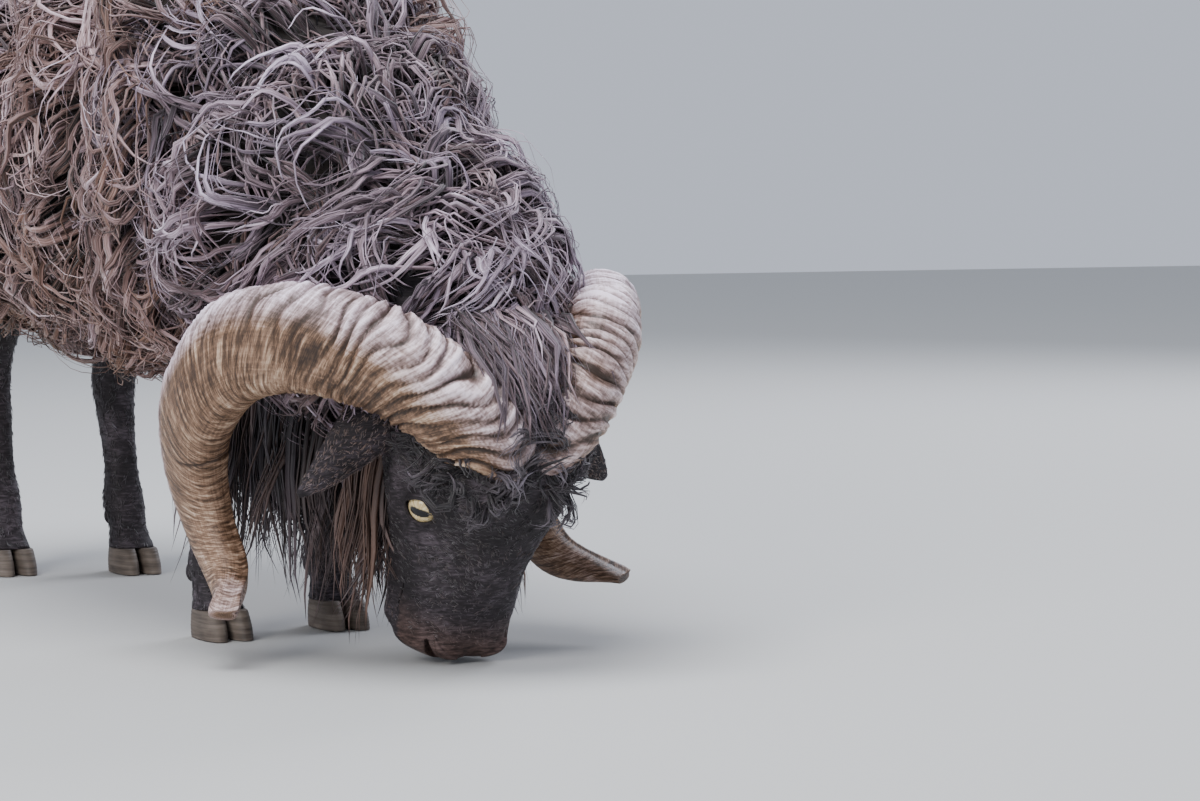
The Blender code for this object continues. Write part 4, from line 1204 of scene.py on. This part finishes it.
def hornBalls(first, last, count, gap):
    # Balls that fill both horns between two shares of their length: number, middle, radius
    for side in (-1, 1):
        place, _, _, deep, wide, _ = hornLine(side, np.linspace(first, last, count))
        yield from zip(range(count), inHead(place), (deep + wide) / 2 + gap)


def keepClearOfHorns(grown, most=0.007, gap=0.0015, rootSteps=9):
    # Strands that touch a horn are pushed out round it, those deep in it are left out
    paths = grown["paths"]
    before = paths.copy()
    for step, spot, radius in hornBalls(0.05, 1, 44, gap):
        away = paths - spot
        far = lengths(away)[..., None]
        push = away / np.maximum(far, 1e-6) * np.maximum(radius - far, 0)
        paths = paths + push
        if step < rootSteps:  # the root, where wool only leans against the horn
            before = before + push
    keep = lengths(paths - before).max(1) < most
    grown["paths"] = paths
    for key, value in grown.items():
        if key != "share":
            grown[key] = value[keep]


def strandsOf(look, paths, ups, widths, tone, share, **more):
    # What strandMesh needs, a row per strand, from arrays by lock, strand and point
    locks, each, points = paths.shape[:3]
    total = locks * each
    ridges = np.where(np.arange(each) < look["wisps"], look["ridges"], 1)
    grown = {key: np.zeros(total) for key in ("warm", "cool", "mapAt", "mapTurn")}
    grown["paths"] = paths.reshape(total, points, 3)
    grown["ups"] = np.broadcast_to(ups, paths.shape).reshape(total, points, 3)
    grown["widths"] = np.broadcast_to(widths, paths.shape[:3]).reshape(total, points)
    grown["tone"] = np.clip(tone, 0, 1).ravel()
    grown.update(more, ridges=np.tile(ridges, locks), share=share)
    return grown


def lockStrands(surface, roots, look, rng):
    # roots: place, angle, metres per unit of place, metres per radian, for each lock
    locks, each, points = len(roots), look["strands"], look["points"]
    place, angle, placeScale, turnScale = roots.T
    share = np.concatenate([[0.0], np.linspace(look["hidden"], 1, points - 1)])
    wisp = (np.arange(each) < look["wisps"])[:, None]
    calm = look["calm"](place, angle)[:, None, None]
    length = look["length"] * rng.uniform(0.75, 1.2, locks) * (1 + 0.35 * calm[:, 0, 0])
    heading = look["fall"](place, angle, rng) + rng.normal(0, look["scatter"], locks)
    spread = look["spread"] * rng.uniform(0.8, 1.2, locks)
    offset = rng.normal(0, 0.55, (locks, each, 2)) * spread[:, None, None]
    gather = look["gather"] * rng.uniform(0.7, 1.15, locks)[:, None, None] * (1 - 0.4 * wisp)
    own = length[:, None] * rng.uniform(0.72, 1.15, (locks, each))
    shrink = 1 - np.minimum(gather, 0.95) * ease(share, 0.0, 0.85)
    sway = rng.normal(0, look["sway"], (locks, 1, 1)) + rng.normal(0, 0.15, (locks, each, 1))
    headingHere = heading[:, None, None] + sway * share**2 * (1 - 0.5 * calm)
    run = own[..., None] * share
    alongRun = run * np.cos(headingHere) + offset[..., :1] * shrink
    downRun = run * np.sin(headingHere) + offset[..., 1:] * shrink
    at = place[:, None, None] + alongRun / placeScale[:, None, None]
    turn = angle[:, None, None] + downRun / turnScale[:, None, None]
    lift = rng.normal(0, look["unevenness"], (locks, 1, 1))
    lift = lift + rng.normal(0, look["ownLift"], (locks, each, 1)) * (1 - wisp)
    tipDepth = look["tipDepth"] - lift + look["relief"](at, turn) + look["wispSink"] * wisp
    tipDepth = np.minimum(tipDepth, look["rootDepth"] * 0.78)
    depth = look["rootDepth"] + (tipDepth - look["rootDepth"]) * ease(share, 0.0, look["rise"])
    depth = depth + look["settle"] * ease(share, 0.7, 1.0)
    flat = surface(at, turn, depth)
    normal = unit(surface(at, turn, depth - 0.004) - flat)
    lateral = np.cross(unit(np.gradient(flat, axis=2)), normal)
    waves = length[:, None, None] / look["wave"]
    phase = rng.uniform(0, math.tau, (locks, 1, 1)) + rng.normal(0, 0.5, (locks, each, 1))
    swing = math.tau * waves * share + phase
    size = look["waveSize"] * rng.uniform(0.4, 1.35, (locks, 1, 1)) * ease(share, 0.05, 0.5)
    size = size * (1 - 0.8 * calm)
    stray = rng.uniform(0, math.tau, (locks, each, 1)) + share * rng.uniform(4, 9, (locks, each, 1))
    stray = np.sin(stray) * rng.normal(0, look["drift"], (locks, each, 1)) * ease(share, 0.1, 0.7)
    paths = flat + lateral * (np.sin(swing) * size + stray)[..., None]
    paths = paths + normal * (np.cos(swing) * size * 0.6)[..., None]
    taper = 1 - look["taper"] * ease(share, 0.35, 1.0)
    widths = look["width"] + (look["wispWidth"] - look["width"]) * wisp
    widths = widths * rng.uniform(0.7, 1.3, (locks, each, 1)) * taper
    widths = widths * (1 - 0.4 * wisp * ease(-share, -0.35, 0.0))
    tone = rng.normal(0.5, 0.17, (locks, 1)) + rng.normal(0, 0.16, (locks, each))
    # Painted shade: locks rooted in the hollows of the relief are darker, those on the rolls a little
    # lighter
    tone = tone - fleece["hollowShade"] * look["relief"](place, angle)[:, None]
    tone = tone + look["bright"] * (rng.uniform(0, 1, (locks, each)) < 0.14)
    # The bluish tint is painted sky sheen: on calm locks, and where the sky sheen mask is high
    skySheen = look["skySheen"](place, angle)[:, None] + rng.normal(0, 0.2, (locks, 1))
    cool = np.repeat(np.clip(np.maximum(calm[..., 0], skySheen), 0, 1), each) * look["cool"]
    return strandsOf(
        look, paths, normal, widths, tone, share, cool=cool,
        warm=np.repeat(look["warm"](place, angle, paths[:, 0, -1], rng), each),
        mapAt=(place[:, None] + offset[..., 0] / placeScale[:, None]).ravel(),
        mapTurn=(angle[:, None] + offset[..., 1] / turnScale[:, None]).ravel(),
    )


def rootPatch(grown, region, first, last, low=0.02, high=0.97):
    # Where each strand's root lies on the unwrapped skin
    left, width = strand["strips"][region]
    across = (grown["mapAt"] - first) / (last - first)
    turn = grown["mapTurn"] / math.tau % 1
    grown["rootMap"] = np.stack([left + width * across, low + (high - low) * turn], -1)


def neckPatch(grown):
    rootPatch(grown, "neck", 0.0, neckEnd)


def sowRoots(surface, first, last, spacing, rng, depth=0.03, turns=(0.0, math.tau)):
    # Rows of lock roots, evenly apart on the surface, each moved a little
    roots = []
    at = first
    ringAngles = np.linspace(*turns, 65)
    while at < last:
        ring = surface(np.full(65, at), ringAngles, depth)
        rim = lengths(np.diff(ring, axis=0)).sum()
        ahead = surface(np.full(65, at + 0.01), ringAngles, depth)
        step = max(lengths(ahead - ring).mean() / 0.01, 1e-3)
        count = max(3, round(rim / spacing))
        shift = rng.uniform(0, 1)
        for i in range(count):
            turn = (i + shift + rng.uniform(-0.3, 0.3)) / count % 1
            spot = at + rng.uniform(-0.35, 0.35) * spacing / step
            angle = turns[0] + (turns[1] - turns[0]) * turn
            roots.append((spot, angle, step, rim / (turns[1] - turns[0])))
        at += spacing / step
    return np.array(roots)


def nothing(place, *others):
    return 0 * place


# How much of the painted bluish sky sheen the trunk takes: none at the chest, most on top
def skySheenOnTrunk(place, angle):
    return 0.75 * ease(place, 0.02, 0.2) * (0.55 + 0.45 * np.sin(angle)) - 0.1


# How much of the painted bluish sky sheen the neck takes: most on top
def skySheenOnNeck(place, angle):
    return 0.55 + 0.25 * np.sin(angle)


wool = {
    "strands": 7, "wisps": 3, "ridges": 3, "points": 12, "hidden": 0.16, "length": 0.068, "spread": 0.011,
    "gather": 0.66, "scatter": 0.36, "sway": 0.85, "unevenness": 0.004, "ownLift": 0.0022,
    "rootDepth": 0.0315, "tipDepth": 0.002, "wispSink": 0.004, "rise": 0.42, "settle": 0.005,
    "wave": 0.035, "waveSize": 0.0034, "drift": 0.0022, "width": 0.0012, "wispWidth": 0.0048,
    "taper": 0.8, "cool": 0.85, "bright": 0.3,
}
underwool = dict(
    wool, strands=8, wisps=8, ridges=1, points=5, length=0.042, scatter=2.0, gather=0.2, spread=0.013,
    sway=0.5, drift=0.0008, tipDepth=0.0125, wispSink=0.0, hidden=0.25, waveSize=0.001,
    wispWidth=0.0034, bright=0.0,
)
fleece = {
    "crestTurns": (0.85, 2.3),  # from one side of the crest to the other
    "trunkSpacing": 0.025, "neckSpacing": 0.0218, "underSpacing": 0.024,
    "crestSpacing": 0.0175, "hollowShade": 11.0,
}


def downShare(angle, steepness, rng):
    # Which way is down round the body, mixed at the spine, and how much of it lies on the sides
    down = -np.sign(np.cos(angle) + rng.normal(0, 0.16, len(angle)))
    return down, np.clip(np.abs(np.cos(angle)) * steepness, 0, 1)


def fallOnTrunk(place, angle, rng):
    # Locks run back along the spine and down the sides
    down, share = downShare(angle, 1.5, rng)
    under = ease(-np.sin(angle), 0.55, 0.95)
    return down * (0.15 + 0.8 * share) * (1 - 0.6 * under)


def fallOnNeck(place, angle, rng):
    # Backwards and down behind, forward and outwards near the horns, mixed in between
    down, share = downShare(angle, 1.4, rng)
    back = math.pi - (0.3 + 0.8 * share)
    forward = 0.25 + 1.1 * share
    front = ease(place + rng.uniform(-1.6, 1.6, len(place)), 1.5, 4.2)
    return down * (back + (forward - back) * front)


def fallOnCrest(place, angle, rng):
    # Forward over the crest towards the horns, fanning out to both sides
    return -2.0 * np.cos(angle) + rng.normal(0, 0.25, len(place))


def calmOnNeck(place, angle):
    return ease(place, 2.4, 3.3) * ease(np.sin(angle), -0.1, 0.5) * 0.8


def reliefOnTrunk(at, turn):
    # Rolls and hollows of the fleece, deepest on the shoulder; locks in the hollows also get painted shade
    roll = np.sin(at * 52 + 2.2 * np.sin(turn * 2 + 1) + 1.3 * np.sin(turn * 5))
    knot = np.sin(turn * 9 + 2 * np.sin(at * 31)) * np.sin(at * 75 + 1.1)
    return 0.012 * np.clip(roll, -0.25, 1) * (1 - 0.45 * ease(at, 0.0, 0.2)) + 0.0034 * knot


def reliefOnNeck(at, turn):
    # Thick rolls of wool lie across the neck, with deep gaps between them that also get painted shade
    roll = np.sin(at * 5.2 + 1.3 * np.sin(turn * 2 + 0.6) + 0.4)
    knot = np.sin(turn * 8 + 2 * np.sin(at * 3)) * np.sin(at * 9 + 0.4)
    near = 1 - 0.85 * ease(at, 3.1, 3.7)
    return 0.0145 * np.clip(roll + 0.1, 0, 1) * near + 0.003 * knot - 0.002


def warmOnTrunk(place, angle, tips, rng):
    share = 0.25 + 0.55 * ease(tips[..., 1], -0.15, 0.3) - 0.25 * np.sin(angle)
    return np.clip(share + rng.normal(0, 0.28, len(place)), 0, 1)


def warmOnNeck(place, angle, tips, rng):
    share = 0.2 + 0.6 * ease(place, 3.2, 4.4) * ease(-np.sin(angle), -0.5, 0.3)
    return np.clip(share + rng.normal(0, 0.22, len(place)), 0, 1)


def growFleece():
    rng = np.random.default_rng(41)
    finish = woolFinish()
    first, last = ends(trunk["rows"])
    onTrunk = dict(
        fall=fallOnTrunk, relief=reliefOnTrunk, calm=nothing, warm=warmOnTrunk, skySheen=skySheenOnTrunk
    )
    onNeck = dict(fall=fallOnNeck, relief=reliefOnNeck, calm=calmOnNeck, warm=warmOnNeck, skySheen=skySheenOnNeck)
    onCrest = dict(onNeck, fall=fallOnCrest)
    under = fleece["underSpacing"]
    along, upNeck = (first + 0.05, last - 0.003), (0.8, neckEnd - 0.05)
    beds = (
        ("fleece_trunk", trunkAt, onTrunk, wool, along, fleece["trunkSpacing"]),
        ("fleece_neck", neckAt, onNeck, wool, upNeck, fleece["neckSpacing"]),
        ("underwool_trunk", trunkAt, onTrunk, underwool, along, under),
        ("underwool_neck", neckAt, onNeck, underwool, upNeck, under * 0.85),
        ("fleece_crest", neckAt, onCrest, wool, (3.2, 4.7), fleece["crestSpacing"]),
    )
    for name, surface, lie, kind, places, spacing in beds:
        turns = fleece["crestTurns"] if lie is onCrest else (0.0, math.tau)
        roots = sowRoots(surface, *places, spacing, rng, 0.03, turns)
        grown = lockStrands(surface, roots, {**kind, **lie}, rng)
        if kind is underwool:
            # The underwool is darker and takes less of the painted sky sheen
            grown["tone"], grown["cool"] = grown["tone"] * 0.6, grown["cool"] * 0.7
        if surface is neckAt:
            keepClearOfHorns(grown)
            neckPatch(grown)
        else:
            rootPatch(grown, "trunk", first, last)
        plantStrands(name, grown, finish)


def drapeStrands(lines, look, rng):
    # Locks along given lines (locks, points, 3) whose strands spread about them
    locks, points = lines.shape[:2]
    each = look["strands"]
    share = np.linspace(0, 1, points)
    wisp = (np.arange(each) < look["wisps"])[:, None]
    along = unit(np.gradient(lines, axis=1))
    side = unit(np.cross(along, unit(look["outer"])))[:, None]
    up = np.cross(side, along[:, None])
    offset = rng.normal(0, look["spread"], (locks, each, 2))
    shrink = 1 - look["gather"] * ease(share, 0.2, 1.0)
    phase = rng.uniform(0, math.tau, (locks, 1, 1)) + rng.normal(0, 0.5, (locks, each, 1))
    swing = np.sin(math.tau * look["waves"] * share + phase) * look["waveSize"] * ease(share, 0.1, 0.6)
    stretch = rng.uniform(0.72, 1.06, (locks, each, 1, 1))
    start = lines[:, None, :1]
    paths = start + (lines[:, None] - start) * stretch
    paths = paths + side * (offset[..., :1] * shrink + swing)[..., None]
    paths = paths + up * (offset[..., 1:] * shrink * 0.5)[..., None]
    widths = look["width"] + (look["wispWidth"] - look["width"]) * wisp
    widths = widths * rng.uniform(0.7, 1.3, (locks, each, 1)) * (1 - 0.8 * ease(share, 0.3, 1.0))
    tone = rng.normal(0.5, 0.16, (locks, 1)) + rng.normal(0, 0.15, (locks, each))
    return strandsOf(look, paths, up, widths, tone, share)


downwards = np.array((0.0, 0.0, -1.0))
throat = {
    "locks": 218, "places": (1.3, 4.8), "swing": 0.8, "lengths": (0.165, 0.122),
    "strands": 11, "wisps": 2, "ridges": 2, "points": 8, "spread": 0.006, "gather": 0.45,
    "waves": 1.3, "waveSize": 0.003, "width": 0.0015, "wispWidth": 0.0046, "outer": (-0.4, -0.9, 0.0),
}


def growThroat():
    rng = np.random.default_rng(42)
    count, points = throat["locks"], throat["points"]
    place = rng.uniform(*throat["places"], count)
    swing = throat["swing"] * (1 - 0.45 * ease(place, 3.4, 4.9)) * (0.65 + 0.35 * ease(place, 1.6, 2.6))
    angle = -math.pi / 2 + rng.uniform(-1, 1, count) * swing
    root = neckAt(place, angle, np.full(count, 0.034))
    share = np.linspace(0, 1, points)[None, :, None]
    long = np.interp(place, throat["places"], throat["lengths"]) * rng.uniform(0.75, 1.1, count)
    long = np.minimum(long, root[:, 2] - 0.006)[:, None, None]
    lean = np.stack([rng.normal(0, 0.11, count), rng.normal(0.07, 0.1, count), 0 * place], -1)
    out = unit(neckAt(place, angle, np.full(count, 0.02)) - root)[:, None]
    lines = root[:, None] + downwards * share * long + lean[:, None] * share**2 * long
    lines = lines + out * 0.018 * np.sin(share * math.pi * 0.8)
    lines[..., 2] = np.maximum(lines[..., 2], 0.003)
    grown = drapeStrands(lines, throat, rng)
    each = throat["strands"]
    grown["mapAt"], grown["mapTurn"] = np.repeat(place, each), np.repeat(angle, each)
    brown = 0.1 + 0.6 * ease(place, 3.0, 4.2) * ease(np.abs(np.cos(angle)), 0.3, 0.6)
    grown["warm"] = np.repeat(np.clip(brown + rng.normal(0, 0.22, count), 0, 1), each)
    neckPatch(grown)
    plantStrands("throat_hair", grown, throatFinish())


topknot = {
    # in the head's own axes: back, up
    "line": (
        (0.05, 0.036), (0.046, 0.058), (0.03, 0.068), (0.012, 0.066),
        (-0.008, 0.054), (-0.024, 0.036), (-0.036, 0.01), (-0.044, -0.014),
    ),
    "locks": 76, "across": 0.036, "strands": 9, "wisps": 3, "ridges": 3, "spread": 0.0052,
    "gather": 0.45, "waves": 2.2, "waveSize": 0.005, "width": 0.0013, "wispWidth": 0.006,
    "outer": (0.0, -0.5, 0.9),
}


def growTopknot(finish):
    rng = np.random.default_rng(43)
    count = topknot["locks"]
    line = evenRows(topknot["line"], np.linspace(0, 7, 9))[:, 1:]
    sideways = rng.uniform(-1, 1, (count, 1)) * topknot["across"]
    reach = rng.uniform(0.55, 1.0, (count, 1))
    share = np.linspace(0, 1, 9)[None]
    x = sideways * (1 - 0.45 * share) + rng.normal(0, 0.011, (count, 1)) * share
    back, up = (np.interp(share * reach, share[0], column) for column in line.T)
    spots = np.stack([x, back, up + rng.normal(0, 0.003, (count, 1))], -1)
    grown = drapeStrands(inHead(spots), topknot, rng)
    each = topknot["strands"]
    # A random share of the painted bluish sky sheen
    grown["cool"] = np.clip(rng.normal(0.5, 0.2, count * each), 0, 1)
    fore = np.repeat(ease(reach[:, 0], 0.78, 0.95), each)
    grown["tone"] = np.clip(grown["tone"] - 0.28 - 0.3 * fore, 0, 1)
    grown["mapAt"] = np.repeat(5.2 + 0.5 * sideways[:, 0] / topknot["across"], each)
    grown["mapTurn"] = np.full(count * each, math.pi / 2)
    keepClearOfHorns(grown, 0.016)
    neckPatch(grown)
    plantStrands("topknot_hair", grown, finish)


face = {
    "strands": 5, "wisps": 0, "ridges": 1, "points": 3, "hidden": 0.45, "length": 0.0105, "spread": 0.0026,
    "gather": 0.3, "scatter": 0.18, "sway": 0.35, "unevenness": 0.0002, "ownLift": 0.0003,
    "rootDepth": 0.0004, "tipDepth": -0.0012, "wispSink": 0.0, "rise": 0.9, "settle": 0.0003,
    "wave": 0.02, "waveSize": 0.0005, "drift": 0.0003, "width": 0.0008, "wispWidth": 0.001,
    "taper": 0.6, "cool": 0.0, "bright": 0.12, "spacing": 0.0052,
    "fall": nothing, "relief": nothing, "calm": nothing, "warm": nothing, "skySheen": nothing,
}
faceEnds = (head["rows"][0][0] + 0.008, head["rows"][-1][0] - 0.008)  # where fur grows on the head


def headSurface(at, angle, depth):
    return headAt(at, angle, -depth)


def fallOnFace(place, angle, rng):
    # Over the cheeks towards the jaw and a little upwards; in whorls on the forehead
    down, share = downShare(angle, 2.0, rng)
    lie = down * (math.pi - (0.5 + 0.95 * share))
    whorl = ease(-place, -0.06, -0.03) * ease(np.sin(angle), 0.3, 0.8)
    return lie + rng.normal(0, 1.1, len(place)) * whorl


def warmOnFace(place, angle, tips, rng):
    share = 0.65 * ease(place, 0.14, 0.168) + 0.2 * ease(-np.sin(angle), 0.2, 0.9)
    return np.clip(share + rng.normal(0, 0.12, len(place)), 0, 1)


def outsideHorns(spots, margin):
    clear = np.ones(len(spots), bool)
    for _, spot, radius in hornBalls(0, 0.35, 30, -margin):
        clear &= lengths(spots - spot) > radius
    return clear


def sowOnHead(look, rng, last=faceEnds[1]):
    roots = sowRoots(headSurface, faceEnds[0], last, look["spacing"], rng, 0.0)
    spots = headSurface(roots[:, 0], roots[:, 1], 0.0)
    return roots, spots, outsideHorns(spots, 0.004)


def plantOnHead(name, grown, finish):
    rootPatch(grown, "face", *faceEnds)
    plantStrands(name, grown, finish)


def growFace(finish):
    rng = np.random.default_rng(44)
    roots, spots, keep = sowOnHead(face, rng)
    for side in (-1, 1):
        keep &= lengths(spots - eyeFrame(side)[0]) > eye["bare"]
        hole, _ = nostrilLine(side, 0.0)
        keep &= lengths(spots[:, None] - hole).min(1) > nostril["bare"]
    line, _ = mouthLine(31)
    keep &= lengths(spots[:, None] - line).min(1) > mouth["bare"]
    keep &= ~((roots[:, 0] > nostril["pad"][0]) & (np.sin(roots[:, 1]) > nostril["pad"][1]))
    roots = roots[keep]
    grown = lockStrands(headSurface, roots, dict(face, fall=fallOnFace, warm=warmOnFace), rng)
    # Shorter towards the muzzle, longer and curlier on the forehead
    place = np.repeat(roots[:, 0], face["strands"])
    size = 0.62 + 1.6 * ease(-place, -0.055, -0.02) - 0.2 * ease(place, 0.1, 0.15)
    eyes = [lengths(grown["paths"][:, 0] - eyeFrame(side)[0]) for side in (-1, 1)]
    size = size * (0.3 + 0.7 * ease(np.minimum(*eyes), 0.016, 0.034))
    root = grown["paths"][:, :1]
    grown["paths"] = root + (grown["paths"] - root) * size[:, None, None]
    plantOnHead("face_fur", grown, finish)


forelock = dict(
    face, strands=8, wisps=2, ridges=2, points=8, hidden=0.2, length=0.026, spread=0.004,
    gather=0.55, scatter=1.2, sway=1.1, unevenness=0.003, ownLift=0.002, rootDepth=0.001,
    tipDepth=-0.0125, rise=0.8, settle=0.004, wave=0.02, waveSize=0.0032, drift=0.0014,
    width=0.001, wispWidth=0.0028, taper=0.75, bright=0.15, spacing=0.0085, fall=fallOnFace,
    fromEye=0.037, last=0.045,
)


def growForelock(finish):
    # Curls over the rim of the horns, on the forehead and between the horns
    rng = np.random.default_rng(48)
    roots, spots, near = sowOnHead(forelock, rng, forelock["last"])
    near &= ~outsideHorns(spots, -0.011)
    for side in (-1, 1):
        near &= lengths(spots - eyeFrame(side)[0]) > forelock["fromEye"]
    roots = roots[near & (np.sin(roots[:, 1]) > 0.1)]
    plantOnHead("forelock", lockStrands(headSurface, roots, forelock, rng), finish)


legFur = dict(
    face, strands=4, length=0.008, spacing=0.0078, scatter=0.2, tipDepth=-0.001, places=(1.2, 7.9)
)


def growLegs(finish):
    rng = np.random.default_rng(45)
    for number, foot in enumerate(legs["feet"]):

        def surface(at, angle, depth):
            return legAt(foot, at, angle, -depth)

        roots = sowRoots(surface, *legFur["places"], legFur["spacing"], rng, 0.0)
        grown = lockStrands(surface, roots, legFur, rng)
        grown["paths"][..., 2] = np.maximum(grown["paths"][..., 2], 0.004)
        rootPatch(grown, "leg", 0.0, 8.0, 0.02 + 0.24 * number, 0.24 + 0.24 * number)
        plantStrands("leg_fur_" + foot, grown, finish)


earFur = dict(face, strands=4, length=0.0044, spacing=0.004, tipDepth=-0.0005, places=(0.1, 0.96))


def growEars(finish):
    rng = np.random.default_rng(46)
    for side, word in bothSides:

        def surface(at, across, depth):
            return earAt(side, at, across, ear["thickness"] / 2 - depth)

        roots = sowRoots(surface, *earFur["places"], earFur["spacing"], rng, 0.0, (-0.97, 0.97))
        grown = lockStrands(surface, roots, earFur, rng)
        grown["warm"] = np.clip(rng.normal(0.5, 0.2, len(grown["tone"])), 0, 1)
        grown["mapTurn"] = (grown["mapTurn"] + 1) / 2 * math.tau * 0.98
        low = 0.02 if side < 0 else 0.52
        rootPatch(grown, "ear", 0.0, 1.0, low, low + 0.4)
        plantStrands("ear_fur_" + word, grown, finish)


tailHair = {
    "locks": 120, "length": 0.075, "strands": 11, "wisps": 2, "ridges": 3, "points": 7,
    "spread": 0.0055, "gather": 0.4, "waves": 1.5, "waveSize": 0.0035, "width": 0.0017,
    "wispWidth": 0.006, "outer": (0.0, 1.0, 0.2),
}


def growTail(finish):
    rng = np.random.default_rng(47)
    count, points = tailHair["locks"], tailHair["points"]
    place = 0.05 + 3.5 * rng.uniform(0, 1, count) ** 1.7
    angle = rng.uniform(0, math.tau, count)
    rows = evenRows(tail["rows"], place)
    out = np.stack([np.cos(angle), np.sin(angle) * 0.8, 0 * angle], -1)
    root = np.stack([0 * place, rows[:, 1], rows[:, 2]], -1) + standShift
    root = root + out * rows[:, 3:5].mean(-1, keepdims=True) * 0.7
    share = np.linspace(0, 1, points)[None, :, None]
    long = (tailHair["length"] * rng.uniform(0.7, 1.2, count))[:, None, None]
    top = ease(-place, -1.3, -0.2)[:, None]
    root = root + np.array((0.0, 0.004, 0.013)) * top
    out = out * (1 - 0.8 * top) + np.array((0.0, 0.6, 1.0)) * top
    lines = root[:, None] + out[:, None] * 0.016 * np.sin(share * 2.2)
    grown = drapeStrands(lines + downwards * share * long, tailHair, rng)
    each = tailHair["strands"]
    grown["warm"] = np.clip(rng.normal(0.6, 0.2, count * each), 0, 1)
    grown["mapAt"], grown["mapTurn"] = np.repeat(place, each), np.repeat(angle, each)
    rootPatch(grown, "tail", 0.0, 5.0)
    plantStrands("tail_hair", grown, finish)


setStudio()
makeSkin()
makeEyes()
makeHorns()
makeHooves()
growFleece()
growThroat()
growTopknot(bpy.data.materials["wool"])
furry = furFinish("short_fur", 0.0)
growFace(furry)
growForelock(furry)
growLegs(furry)
growEars(furFinish("ear_fur", 0.09))
growTail(bpy.data.materials["wool"])
